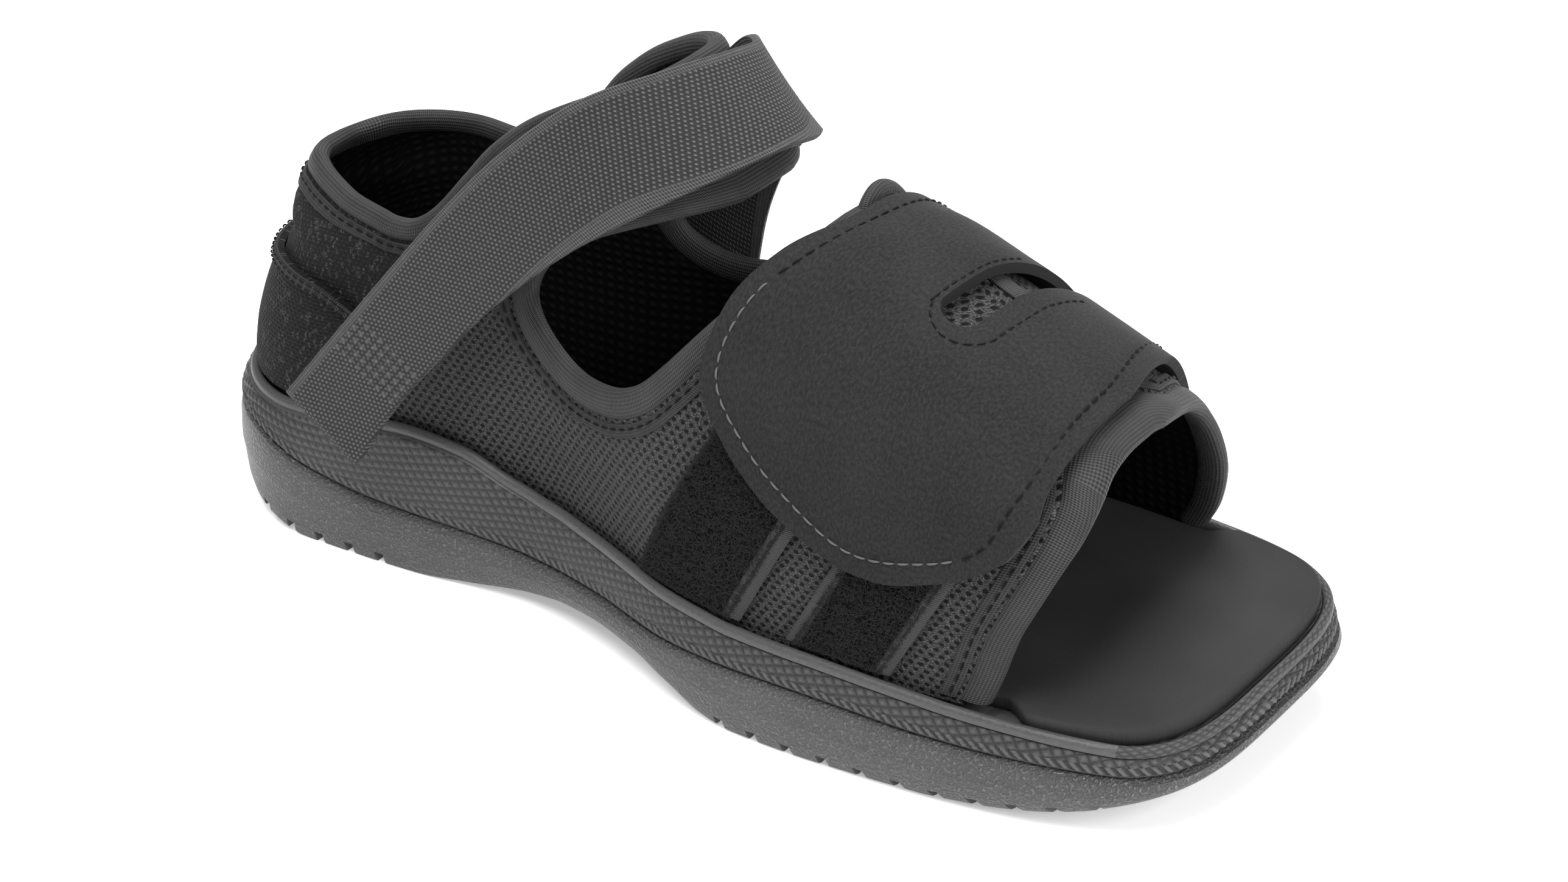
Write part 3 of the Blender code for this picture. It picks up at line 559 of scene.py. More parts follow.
BAND_LOW, BAND_HIGH = raised(split_height, GAP + 0.0006), raised(rim_height, -BEAD_RISE - 0.0011)
BAND_ROWS = 34


def up_band(part):
    """Height above the band's foot, in millimetres, at each point of the outline."""
    share = OUTLINE[:, 0] / LENGTH
    return (BAND_HIGH(share) - BAND_LOW(share)) * part * 1000


def banded(part):
    """A ring of the band a part of the way up it, with a slight swell and the diamonds standing out."""
    swell = 0.0005 * math.sin(part * math.pi)
    relief = KNURL_DEPTH * knurl(RUN, up_band(part)) * (0.02 < part < 0.98)
    return ring(
        lambda s: BAND_STEP + (band_top(s) - BAND_STEP) * part - swell - relief,
        between(BAND_LOW, BAND_HIGH, part),
    )


midsole_rings = [
    ring(STEP_IN + 0.0006 + 1.5 * GAP, raised(plateau, GAP)),
    ring(STEP_IN + 1.5 * GAP, raised(split_height, GAP)),
    ring(BAND_STEP + 0.0004, raised(split_height, GAP)),
]
BAND_PARTS = np.linspace(0, 1, BAND_ROWS)
midsole_rings += [banded(part) for part in BAND_PARTS]
midsole_rings += [ring(lambda s: band_top(s) + 0.0007, raised(rim_height, -BEAD_RISE - 0.0008))]
BEAD_TURNS = (-25, 0, 30, 60, 90, 120, 150, 180)
midsole_rings += [bead_at(turn) for turn in BEAD_TURNS]
midsole_rings += [ring(lip_inset, well)]
band_chart = np.zeros((len(midsole_rings), len(OUTLINE), 2))
band_chart[..., 0] = RUN
BAND_FIRST, BAND_LAST = 3, 2 + BAND_ROWS
band_chart[BAND_FIRST : BAND_LAST + 1, :, 1] = [up_band(part) for part in BAND_PARTS]
band_chart[BAND_LAST + 1 :, :, 1] = band_chart[BAND_LAST, :, 1] + np.arange(1, 11)[:, None] * 1.5


def knurled():
    """Diamonds and slanted marks along the band's foot, with painted shade darkening their valleys and their
    tops painted lighter.
    """
    look = Finish("band_rubber", 0.5, specular=0.30)
    across, up = look.u / KNURL_ACROSS, look.v / KNURL_UP
    one, two = (across + up * 0.5).fraction() - 0.5, (across * SLANT - up).fraction() - 0.5
    pyramid = 1.0 - (one.size().most(two.size())) * 2.0
    foot = look.v < KNURL_FOOT
    mark = ((look.u / FOOT_PITCH + look.v * FOOT_SLANT).fraction() - 0.5).size()
    height = pyramid * (1.0 - foot) + (1.0 - mark.rise(0.12, 0.36)) * foot
    grain = look.noise(1.8, 3.0)
    # painted shade: the colour follows the height of the diamonds and marks, darker in their valleys and
    # grooves and lighter on their tops
    look.grey(height * 0.052 + 0.006 + grain * 0.014)
    return look.relief(grain, 0.0002)


def smooth_rubber():
    """The bead's polished rubber, with a faint grain."""
    look = Finish("rim_rubber", 0.42, specular=0.30)
    grain = look.noise(0.9, 3.0)
    look.grey(grain * 0.040 + 0.034)
    return look.relief(grain, 0.00012)


midsole = rings_mesh(
    "midsole_look",
    midsole_rings,
    [knurled(), smooth_rubber()],
    lambda row: 0 if BAND_FIRST <= row < BAND_LAST else 1,
    half_chart=band_chart,
    stands_for=["midsole"],
    cad_slot="band_rubber",
)
OUTLINE, OUTWARD = sole_outline(230)

# The bead is knurled as well where it turns round the toe
TOE_KNURL_FROM = own_frame([(0.945 * LENGTH, 0, 0)])[0][0]
for face in midsole.data.polygons:
    if face.center.x > TOE_KNURL_FROM and face.center.z > 0.70 * SOLE_DEPTH and face.normal.x > -0.3:
        face.material_index = 0

# Insole
# A footbed die-cut from skinned foam with a soft rounded edge. It lies loose in the tray, inside the upper's
# wall, and reaches out to the rim where the toe is open.

INSOLE_CLEAR, WIDENS_AT, WIDENS_OVER = 0.0024, 0.855, 0.02
insole_inside = foot_inset_of(0.8) * WALL + WALL + INSOLE_CLEAR
insole_front = foot_inset_of(1.0) * WALL + GAP


def insole_edge(share):
    """Inset of the footbed: inside the upper's wall, and out to the tray's lip ahead of it."""
    wide = np.clip((share - WIDENS_AT) / WIDENS_OVER, 0, 1)
    return lip_inset(share) + WALL + INSOLE_CLEAR + (insole_front - insole_inside) * wide


def bed(share):
    return FLOOR + GAP + 0 * share


insole_rings = [
    ring(lambda s: insole_edge(s) + 0.0004, bed),
    ring(insole_edge, raised(bed, 0.0006)),
    ring(insole_edge, raised(bed, INSOLE_THICKNESS - 0.0009)),
    ring(lambda s: insole_edge(s) + 0.0003, raised(bed, INSOLE_THICKNESS - 0.0003)),
    ring(lambda s: insole_edge(s) + 0.0009, raised(bed, INSOLE_THICKNESS)),
    ring(lambda s: insole_edge(s) + 0.0030, raised(bed, INSOLE_THICKNESS + 0.0001)),
]


def foam():
    """Skinned foam: a fine grain under a slow cloud of wear."""
    look = Finish("insole_foam", 0.75)
    fine, cloud = look.noise(3.2, 2.0), look.noise(0.035, 1.0)
    look.grey(fine * 0.014 + cloud * 0.020 + 0.009)
    return look.relief(fine, 0.00012)


insole = rings_mesh(
    "insole_look",
    insole_rings,
    [foam()],
    lambda row: 0,
    stands_for=["insole"],
    cad_slot="insole_foam",
)
chart = insole.data.uv_layers.active
for loop, spot in zip(insole.data.loops, chart.uv):
    spot.vector = [c * 1000 for c in insole.data.vertices[loop.vertex_index].co[:2]]

# Upper
# One shell of knitted air mesh over a black lining, with flecked knit behind the strap. It is stitched into
# the tray's rim and open at collar, instep and toe. A Solidify gives it its wall.

HEIGHT = 0.136
HEEL_ROUND = 0.0283
COLLAR_BINDING_WIDTH = 0.0052
THROAT_BINDING_WIDTH = 0.0070
TOE_BINDING_WIDTH = 0.0068

# The upper from the side: x as a share of LENGTH, z as a share of HEIGHT
BACK_ROWS = [
    (0.0262, 0.165),
    (0.0262, 0.272),
    (0.0317, 0.338),
    (0.0423, 0.401),
    (0.0600, 0.478),
    (0.0700, 0.522),
    (0.0775, 0.552),
    (0.0760, 0.588),
    (0.0830, 0.632),
    (0.0950, 0.672),
    (0.1080, 0.735),
    (0.1160, 0.950),
]
RIDGE_ROWS = [
    (0.4225, 1.120),
    (0.4680, 1.015),
    (0.4930, 0.956),
    (0.5460, 0.816),
    (0.5670, 0.783),
    (0.6060, 0.779),
    (0.6620, 0.761),
    (0.7040, 0.732),
    (0.7460, 0.695),
    (0.7920, 0.654),
    (0.8560, 0.581),
    (0.8840, 0.560),
    (0.9050, 0.540),
    (1.0200, 0.353),
]
HUB = (0.616, 1.103)
FOOT_END = 1.13

# Crown of each slanted section: turn about the hub in degrees, and fullness on the near and far sides
CROWN_ROWS = [
    (186.0, 2.50, 2.50),
    (215.0, 2.50, 2.50),
    (250.0, 2.40, 2.30),
    (285.0, 2.50, 1.95),
    (303.0, 2.70, 1.72),
    (312.0, 2.90, 1.58),
    (322.0, 2.90, 1.52),
]

# How far the sides swell past the foot line, as a share of half the ball width, along the length
SWELL_ROWS = [
    (0.00, 0.000),
    (0.20, 0.020),
    (0.38, 0.085),
    (0.50, 0.105),
    (0.62, 0.050),
    (0.80, 0.020),
    (1.00, 0.020),
]
SWELL_FROM, SWELL_TO = 0.20, 0.46

# How far the near side draws in at the collar, above the heel's padded roll, in the same share
NECK_ROWS = [(0.08, 0.190), (0.14, 0.170), (0.20, 0.080), (0.26, 0.000)]
NECK_FROM, NECK_TO = 0.56, 0.66

# Free edges of the openings from the side, x and z as shares of LENGTH and HEIGHT
COLLAR_ROWS = [
    (0.0950, 0.672),
    (0.1150, 0.676),
    (0.1480, 0.672),
    (0.1830, 0.667),
    (0.2150, 0.662),
    (0.2360, 0.658),
    (0.2600, 0.668),
    (0.2830, 0.700),
    (0.3150, 0.772),
    (0.3450, 0.840),
    (0.3790, 0.896),
    (0.4225, 0.945),
    (0.4700, 0.985),
]
THROAT_ROWS = [
    (0.6140, 0.772),
    (0.6030, 0.735),
    (0.5750, 0.679),
    (0.5370, 0.590),
    (0.5100, 0.540),
    (0.4760, 0.511),
    (0.4380, 0.505),
    (0.4060, 0.527),
    (0.3860, 0.567),
    (0.3830, 0.610),
    (0.4000, 0.663),
    (0.4400, 0.722),
    (0.4900, 0.770),
    (0.5300, 0.795),
    (0.5550, 0.803),
]
TOE_ROWS = [
    # z, near x, far x
    (0.192, 0.8425, 0.8470),
    (0.243, 0.8530, 0.8600),
    (0.320, 0.8665, 0.8700),
    (0.397, 0.8850, 0.8715),
    (0.461, 0.8990, 0.8710),
    (0.495, 0.9035, 0.8750),
    (0.525, 0.9020, 0.8830),
    (0.552, 0.8925, 0.8925),
]
FOOT = FLOOR + 6 * GAP
TURN = 2 * math.pi


def wave(value, pitch):
    """0 to 1 and back once each pitch."""
    return (value * (TURN / pitch)).sine() * 0.5 + 0.5


def air_mesh():
    """Knitted spacer mesh: staggered holes between bundles of yarn, lightened in stretched streaks that are
    partly the yarn's own grey and partly painted glints.
    """
    across, down, hole, yarn_edge = 2.55, 1.55, 0.42, 0.86
    look = Finish("mesh_fabric", 0.62, sheen=0.02)
    bend_u = look.u + (look.noise(0.55, 1.0) - 0.5) * 0.8
    bend_v = look.v + (look.noise(0.5, 1.0) - 0.5) * 0.6
    rows = bend_v / down
    shifted = bend_u / across + (rows.floor() % 2.0) * 0.5
    du, dv = (shifted.fraction() - 0.5) * across, (rows.fraction() - 0.5) * down
    reach = (du * du + dv * dv * 1.7) ** 0.5
    solid = reach.rise(hole, yarn_edge)
    yarn_and_glint = look.noise(2.4, 3.0, bend_u * 0.8 + bend_v * 0.4, bend_v * 1.6)
    height = solid * 0.75 + yarn_and_glint.rise(0.3, 0.7) * 0.4
    # the stretched streaks lighten the yarn's colour: partly its own grey, partly painted glints along its
    # fibres
    look.grey(solid * (yarn_and_glint.rise(0.34, 0.78) * 0.105 + 0.008) + 0.0010)
    return look.relief(height, 0.0006)


def flecked_knit(name, dark, light):
    """Dark loops of knit in offset rows, with pale flecks here and there."""
    loop_wide, loop_high = 1.5, 1.15
    look = Finish(name, 0.85, sheen=0.02)
    rows = (look.v / loop_high).floor() % 2.0
    loops = wave(look.u + rows * (loop_wide / 2), loop_wide) * wave(look.v, loop_high)
    fuzz = look.noise(2.6, 3.0)
    fleck = (look.speck(0.7, 1.5) > 0.84) * fuzz.rise(0.45, 0.70)
    look.grey(loops * (light - dark) * 0.5 + fuzz * 0.008 + fleck * 0.075 + dark)
    return look.relief(loops * 0.7 + fuzz * 0.5, 0.0005)


def lining():
    """Near-black lining with a faint dot."""
    look = Finish("lining_knit", 0.95, specular=0.05)
    dots = wave(look.u, 3.0) * wave(look.v, 2.4)
    look.grey(dots * 0.004 + 0.002)
    return look.relief(dots, 0.0003)


mesh_look, knit_look, lining_look = air_mesh(), flecked_knit("collar_knit", 0.004, 0.022), lining()


def unit(vectors):
    return vectors / np.linalg.norm(vectors, axis=-1, keepdims=True)


def along(points, count):
    """Evenly spaced points on a smooth line through the given ones."""
    points = np.asarray(points, float)
    padded = np.vstack([2 * points[0] - points[1], points, 2 * points[-1] - points[-2]])
    t = np.linspace(0, 1, 12, endpoint=False)[:, None]
    pieces = []
    for a, b, c, d in zip(padded, padded[1:], padded[2:], padded[3:]):
        bend = (2 * a - 5 * b + 4 * c - d) * t**2 + (3 * b - a - 3 * c + d) * t**3
        pieces.append(0.5 * (2 * b + (c - a) * t + bend))
    fine = np.vstack(pieces + [points[-1:]])
    run = run_of(fine)
    return placed(run[-1] * np.linspace(0, 1, count), run, fine)


def grown(line, distance):
    """A line in the side view moved to its left by a distance."""
    ahead = unit(np.gradient(line, axis=0))
    return line + distance * np.column_stack([-ahead[:, 1], ahead[:, 0]])


def from_side(rows):
    """A side-view table's shares turned into metres."""
    return np.array(rows) * [LENGTH, HEIGHT]


swell_of = through(SWELL_ROWS, 1)
neck_of = through(NECK_ROWS, 1)
back_of = through([(z, x) for x, z in BACK_ROWS], 1)
HUB_POINT = np.array(HUB) * [LENGTH, HEIGHT]


def polar(points):
    """Turn in degrees and reach from the hub of points in the side view."""
    out = np.asarray(points, float) - HUB_POINT
    turn = np.degrees(np.arctan2(out[..., 1], out[..., 0])) % 360
    return turn, np.hypot(out[..., 0], out[..., 1])


def at_polar(turn, reach):
    """Points of the side view at a turn in degrees and a reach from the hub."""
    angle = np.radians(turn)
    return HUB_POINT + np.stack([np.cos(angle), np.sin(angle)], axis=-1) * np.expand_dims(reach, -1)


def foot_line(count_back, count_foot):
    """The low line of the upper in the side view: down the back of the heel, then along the foot."""
    heights = np.linspace(1.0, FOOT / HEIGHT, count_back)
    back = np.column_stack([back_of(heights) * LENGTH, heights * HEIGHT])
    start = back[-1, 0]
    shares = np.linspace(0, 1, count_foot + 1)[1:] ** 1.35
    foot = start + (FOOT_END * LENGTH - start) * shares
    return np.vstack([back, np.column_stack([foot, np.full(count_foot, FOOT)])])


FINE_LOW = np.column_stack(polar(foot_line(60, 400)))
RIDGE_POLAR = np.column_stack(polar(from_side(RIDGE_ROWS)))
ridge_reach = through([tuple(row) for row in RIDGE_POLAR], 1)
near_crown = through(CROWN_ROWS, 1)
far_crown = through(CROWN_ROWS, 2)


def low_reach(turn):
    """Reach from the hub to the low line of the upper."""
    return np.interp(turn, FINE_LOW[:, 0], FINE_LOW[:, 1])


def half_width(x, z, far=False):
    """Half width of the upper's outer face at a point of the side view."""
    x, z = np.asarray(x, float), np.asarray(z, float)
    turn, reach = polar(np.stack([x, z], axis=-1))
    low, top = low_reach(turn), ridge_reach(turn)
    climb = np.clip((low - reach) / (low - top), 0, 1)
    power = np.where(far, far_crown(turn), near_crown(turn))
    crown = (1 - climb**power) ** (1 / power)
    share = x / LENGTH
    rise = np.clip((z / HEIGHT - SWELL_FROM) / (SWELL_TO - SWELL_FROM), 0, 1)
    swell = swell_of(share) * BALL_WIDTH / 2 * rise**2 * (3 - 2 * rise)
    neck = np.clip((z / HEIGHT - NECK_FROM) / (NECK_TO - NECK_FROM), 0, 1)
    neck = np.where(far, 0, neck_of(share) * BALL_WIDTH / 2 * neck**2 * (3 - 2 * neck))
    side = straight_half(x) - lip_inset(share) - 3 * GAP + swell - neck
    from_back = np.clip(1 - (x - back_of(z / HEIGHT) * LENGTH) / HEEL_ROUND, 0, 1)
    return side * crown * np.sqrt(1 - from_back**2)


def on_upper(side_view, far=False):
    """Points of the side view put on the upper's outer face, on the near or the far side."""
    side_view = np.asarray(side_view, float)
    y = half_width(side_view[..., 0], side_view[..., 1], far)
    return np.stack([side_view[..., 0], y if far else -y, side_view[..., 1]], axis=-1)


def spread_out(side_view):
    """The side view laid out flat over turn and climb, so that points near its edges stand apart."""
    turn, reach = polar(side_view)
    low, top = low_reach(turn), ridge_reach(turn)
    climb = np.clip((low - reach) / (low - top), 0, 1)
    climb = np.where(climb < 0.004, 0, np.where(climb > 0.999, 1, climb))
    return np.column_stack([np.radians(turn) * 0.105, np.arccos(1 - 2 * climb) / math.pi * 0.110])


def ridge_between(start, end, count):
    """Points along the ridge between two of its points."""
    turns = np.linspace(polar(start)[0], polar(end)[0], count)
    return at_polar(turns, ridge_reach(turns))


def inside(points, loop):
    """Which points lie inside a closed loop."""
    following = np.roll(loop, -1, axis=0)
    found = np.zeros(len(points), bool)
    for (ax, ay), (bx, by) in zip(loop, following):
        if ay != by:
            crosses = (ay > points[:, 1]) != (by > points[:, 1])
            found ^= crosses & (points[:, 0] < ax + (bx - ax) * (points[:, 1] - ay) / (by - ay))
    return found


def evened(line, far, count, start, end):
    """Evenly spaced points of a fine side-view line, with its ends on the upper's ridge or back."""
    turn, reach = polar(line)
    within = (reach > ridge_reach(turn)) & (line[:, 0] > back_of(line[:, 1] / HEIGHT) * LENGTH)
    line = line[within]
    if start:
        line[0] = snapped(line[0], start)
    line[-1] = snapped(line[-1], end)
    run = run_of(on_upper(line, far))
    return placed(np.linspace(0, run[-1], count), run, line)


def collar_edge(distance, far=False, count=26):
    """The collar's edge, moved down from it by a distance."""
    return evened(grown(along(from_side(COLLAR_ROWS), 300), -distance), far, count, "back", "ridge")


def throat_edge(distance, far=False, count=26):
    """The instep opening's edge, moved out from it by a distance."""
    return evened(grown(along(from_side(THROAT_ROWS), 300), distance), far, count, "ridge", "ridge")


def toe_edge(distance, far=False, count=18):
    """The toe opening's edge, moved back from it by a distance."""
    rows = [(row[2 if far else 1], row[0]) for row in TOE_ROWS]
    return evened(along(from_side(rows), 200) - [distance * 1.1, 0], far, count, None, "ridge")


def snapped(point, to):
    """A point of the side view moved onto the ridge or the heel's back."""
    if to == "ridge":
        turn = polar(point)[0]
        return at_polar(turn, ridge_reach(turn))
    return np.array([back_of(point[1] / HEIGHT) * LENGTH, point[1]])


def fine_half(far):
    """The upper's half with close points; its wall runs on into the rolled tapes."""
    under_tape = 0.0012
    collar = collar_edge(COLLAR_BINDING_WIDTH - under_tape, far, 80)
    throat = throat_edge(THROAT_BINDING_WIDTH - under_tape, far, 80)[::-1]
    toe = toe_edge(TOE_BINDING_WIDTH - under_tape, far, 50)[::-1]
    toe = np.vstack([toe, [toe[-1, 0], FOOT]])
    heights = np.linspace(FOOT, collar[0, 1], 40)
    back = np.column_stack([back_of(heights / HEIGHT) * LENGTH, heights])
    foot = ring(lambda share: lip_inset(share) + 2 * GAP, rim_height)[::-2, 0]
    foot = foot[(foot < toe[-1, 0] - 0.0015) & (foot > back[0, 0] + 0.0004)]
    outline = np.vstack([
        back[:-1],
        collar,
        ridge_between(collar[-1], throat[0], 18)[1:-1],
        throat,
        ridge_between(throat[-1], toe[0], 30)[1:-1],
        toe,
        np.column_stack([foot, np.full(len(foot), FOOT)]),
    ])
    edge = on_upper(outline, far)
    climb = (1 - np.cos(np.linspace(0, math.pi, 42)[1:-1])) / 2
    inner = []
    for turn in polar(foot_line(50, 110))[0][1:-1]:
        reach = low_reach(turn) + (ridge_reach(turn) - low_reach(turn)) * climb
        inner.append(at_polar(np.full(len(climb), turn), reach))
    inner = np.vstack(inner)
    room = np.linalg.norm(on_upper(inner, far)[:, None] - edge[None], axis=2).min(axis=1)
    inner = inner[(room > 0.0009) & inside(spread_out(inner), spread_out(outline))]
    points = np.vstack([outline, inner])
    flat = [Vector(p) for p in spread_out(points)]
    made = delaunay_2d_cdt(flat, [], [list(range(len(outline)))], 1, 1e-7)
    came_from = [found[0] for found in made[3]]
    return on_upper(points, far), [[came_from[i] for i in face] for face in made[2]]


points, faces = [], []
for far in (False, True):
    half, triangles = fine_half(far)
    faces += [[i + len(points) for i in face] for face in triangles]
    points.extend(half)
points = np.array(points)
from_middle = np.abs(points[:, 1])
round_heel, near_ridge = points[:, 0] < 0.03, from_middle < 0.03
chart = np.column_stack([points[:, 0] + 0.35 * from_middle * round_heel, points[:, 2]]) * 1000
chart[:, 1] += 0.5 * near_ridge * (0.03 - from_middle) * 1000


def is_knit(face):
    """Behind a slanted line that the strap covers, the outer face is the collar's knit."""
    x, _, z = points[face].mean(axis=0) / [LENGTH, 1, HEIGHT]
    return int(x < 0.200 + 0.40 * (z - 0.30))


upper = built(
    "upper_look",
    own_frame(points),
    faces,
    [mesh_look, knit_look, lining_look],
    chart,
    [is_knit(face) for face in faces],
    stands_for=["upper"],
    cad_slot="mesh_fabric",
)
form = bmesh.new()
form.from_mesh(upper.data)
bmesh.ops.delete(form, geom=[v for v in form.verts if not v.link_faces], context="VERTS")
bmesh.ops.remove_doubles(form, verts=form.verts, dist=1e-6)
bmesh.ops.recalc_face_normals(form, faces=form.faces)
middle = Vector((0.25 * LENGTH, 0, 0.3 * HEIGHT))
if sum(face.normal.dot(face.calc_center_median() - middle) for face in form.faces) < 0:
    bmesh.ops.reverse_faces(form, faces=form.faces)
form.to_mesh(upper.data)
form.free()
wall = upper.modifiers.new("wall", "SOLIDIFY")
wall.thickness, wall.offset, wall.material_offset = WALL, -1, 2

# Bindings
# Ribbed nylon tape is folded over each raw edge: collar, instep and toe. A roll covers the edge itself, and a
# thin flange lies flat beside it, held by one line of dark thread.

BINDING_THICKNESS = 0.0044


def ribbed(name, along_pitch, across_pitch, dark, light, depth, roughness=0.55):
    """Woven tape: fine ribs across it, crossed by its lengthwise yarns."""
    look = Finish(name, roughness, sheen=0.03)
    uneven = look.noise(0.35, 2.0) * 0.6
    ribs = wave(look.u + uneven * 0.3, along_pitch)
    yarns = wave(look.v, across_pitch)
    height = ribs * 0.7 + yarns * 0.5
    cloud = look.noise(0.12, 2.0)
    look.grey((height * (light - dark) + dark) * (cloud * 0.6 + 0.7))
    return look.relief(height, depth)


tape_look = ribbed("binding_tape", 0.52, 0.85, 0.006, 0.046, 0.00022)
flange_look = ribbed("flange_tape", 0.62, 0.75, 0.008, 0.040, 0.0002, 0.7)


def plain(name, grey, roughness):
    """One even grey with a slight mottle."""
    look = Finish(name, roughness, specular=0.1)
    look.grey(look.noise(1.2, 2.0) * grey * 0.5 + grey * 0.75)
    return look


thread_dark = plain("dark_thread", 0.004, 0.6)
thread_light = plain("light_thread", 0.085, 0.5)

FLANGE_LIFT, FLANGE_THICKNESS = 0.0001, 0.0006
TAPE_STITCH = (0.0034, 0.0026, 0.00028)  # pitch, length and thread radius, as in each stitch below
BINDINGS = [
    # opening, edge, width of its roll, count of points, closed, width of its flange
    ("collar", collar_edge, COLLAR_BINDING_WIDTH, 90, True, 0.0030),
    ("throat", throat_edge, THROAT_BINDING_WIDTH, 90, True, 0.0034),
    ("toe", toe_edge, TOE_BINDING_WIDTH, 60, False, 0.0040),
]


def outward_of(grid):
    """Unit normals of a grid of points, pointing away from the inside of the shoe."""
    by_row, by_column = np.gradient(grid, axis=0), np.gradient(grid, axis=1)
    normal = np.cross(by_row, by_column)
    normal /= np.linalg.norm(normal, axis=-1, keepdims=True) + 1e-12
    middle = np.array([0.45 * LENGTH, 0, 0.3 * HEIGHT])
    return normal if np.sum(normal * (grid - middle)) > 0 else -normal


def flat_map(grid):
    """UVs in millimetres: run along a grid's rows and down its columns."""
    return np.stack([runs(grid, 1), runs(grid, 0)], axis=-1)


def sheet_faces(rows, columns):
    """Faces of the two sides and the rim of a sheet whose points are an inner grid and then an outer one."""
    def index(side, i, j):
        return (side * rows + i) * columns + j

    faces = []
    for i in range(rows - 1):
        for j in range(columns - 1):
            for side in (0, 1):
                faces.append([index(side, *p) for p in ((i, j), (i + 1, j), (i + 1, j + 1), (i, j + 1))])
    edge = [(i, 0) for i in range(rows)] + [(rows - 1, j) for j in range(1, columns)]
    edge += [(i, columns - 1) for i in range(rows - 2, -1, -1)] + [(0, j) for j in range(columns - 2, 0, -1)]
    for a, b in zip(edge, edge[1:] + edge[:1]):
        faces.append([index(0, *a), index(0, *b), index(1, *b), index(1, *a)])
    return faces


def cloth(name, grid, lift, thickness, finishes, maps=None, soft_edge=0.5, **said):
    """A sheet over a grid of points: its outer side is rounded down a little at its edges."""
    normal = outward_of(grid)
    rows, columns = grid.shape[:2]
    round_i = np.minimum(np.arange(rows), np.arange(rows)[::-1])
    round_j = np.minimum(np.arange(columns), np.arange(columns)[::-1])
    from_edge = np.minimum(round_i[:, None], round_j[None, :])
    full = np.where(from_edge == 0, soft_edge, 1.0) * thickness
    inner = grid + normal * lift
    outer = inner + normal * full[..., None]
    points = own_frame(np.concatenate([inner.reshape(-1, 3), outer.reshape(-1, 3)]))
    chart = flat_map(grid) if maps is None else maps
    chart = np.concatenate([chart.reshape(-1, 2)] * 2)
    return turned_out(built(name, points, sheet_faces(rows, columns), finishes, chart, **said))


def bead(name, free, root, thick, finishes, closed, **said):
    """A rolled tape between two lines of points, with its mid plane sunk into the wall."""
    sides, squareness = 18, 0.8
    centre = (free + root) / 2
    across = (root - free) / 2
    tangent = np.gradient(centre, axis=0)
    if closed:
        tangent = np.roll(centre, -1, axis=0) - np.roll(centre, 1, axis=0)
    out = unit(np.cross(tangent, across))
    inside_point = np.array([0.5 * LENGTH, 0, 0.3 * HEIGHT])
    out *= np.sign(np.sum(out * (centre - inside_point), axis=1, keepdims=True))
    centre = centre - out * (WALL / 2)
    angle = np.arange(sides + 1) * TURN / sides
    bow_x, bow_y = np.cos(angle), np.sin(angle)
    bow_x = np.sign(bow_x) * np.abs(bow_x) ** squareness
    bow_y = np.sign(bow_y) * np.abs(bow_y) ** squareness
    grid = centre[:, None] + across[:, None] * bow_x[:, None] + (out * thick / 2)[:, None] * bow_y[:, None]
    if closed:
        grid = np.concatenate([grid, grid[:1]])
    rows, wide = grid.shape[:2]
    run = run_of(grid[:, 0])[:, None] * 1000
    chart = np.stack([np.broadcast_to(run, (rows, wide)), runs(grid, 1)], axis=-1)
    faces = quads(rows, wide)
    if not closed:
        faces += [list(range(wide - 1)), [(rows - 1) * wide + j for j in range(wide - 1)]]
    piece = built(name, own_frame(grid.reshape(-1, 3)), faces, finishes, chart.reshape(-1, 2), **said)
    return turned_out(piece, weld=True)


def strip_over(name, first, last, lift, thickness, finishes, **said):
    """A narrow tape laid over the upper between two lines of points that run side by side."""
    shares = np.array([0, 0.08, 0.3, 0.5, 0.7, 0.92, 1.0])
    grid = first[None] + (last - first)[None] * shares[:, None, None]
    return cloth(name, grid, lift, thickness, finishes, **said)


def stitches(name, path, normals, stitch, finish):
    """A row of thread stitches along a path, each a short rounded bar that dips at its ends."""
    sides, sink = 6, 0.2
    pitch, length, radius = stitch
    run = run_of(path)
    share = np.linspace(0, 1, sides + 1)
    angle = np.arange(sides) * TURN / sides
    points, faces = [], []
    for start in np.arange(0.3 * pitch, run[-1] - length, pitch):
        at = start + share * length
        centre, up = placed(at, run, path), placed(at, run, normals)
        side = unit(np.cross(unit(np.gradient(centre, axis=0)), up))
        high = np.sin(share * math.pi) ** 0.5
        centre = centre + up * (radius * (high * 1.1 - sink))[:, None]
        thick = radius * (0.35 + 0.65 * high)
        ring_of = side[:, None] * np.cos(angle)[:, None] + up[:, None] * np.sin(angle)[:, None]
        base = len(points)
        points.extend((centre[:, None] + thick[:, None, None] * ring_of).reshape(-1, 3))
        for i in range(sides):
            for j in range(sides):
                low, k = base + i * sides, (j + 1) % sides
                faces.append([low + j, low + k, low + sides + k, low + sides + j])
        faces.append([base + j for j in range(sides)][::-1])
        faces.append([base + sides * sides + j for j in range(sides)])
    return built(name, own_frame(np.array(points)), faces, [finish])


def along_upper(line, far, lift):
    """Points over a side-view line on the upper, and the upper's normals there."""
    step = 0.0006
    at = on_upper(line, far)
    east = on_upper(line + [step, 0], far) - on_upper(line - [step, 0], far)
    up = on_upper(line + [0, step], far) - on_upper(line - [0, step], far)
    normal = np.cross(east, up)
    normal /= np.linalg.norm(normal, axis=1, keepdims=True) + 1e-12
    normal *= np.where(normal[:, 1:2] * (1 if far else -1) < 0, -1, 1)
    return at + normal * lift, normal


def round_both(edge, distance, count, closed=True):
    """The near line and the far line of an opening joined into one loop of points on the upper."""
    near = on_upper(edge(distance, False, count), False)
    far = on_upper(edge(distance, True, count), True)
    return np.vstack([near, far[::-1][1:-1] if closed else far[::-1][1:]])


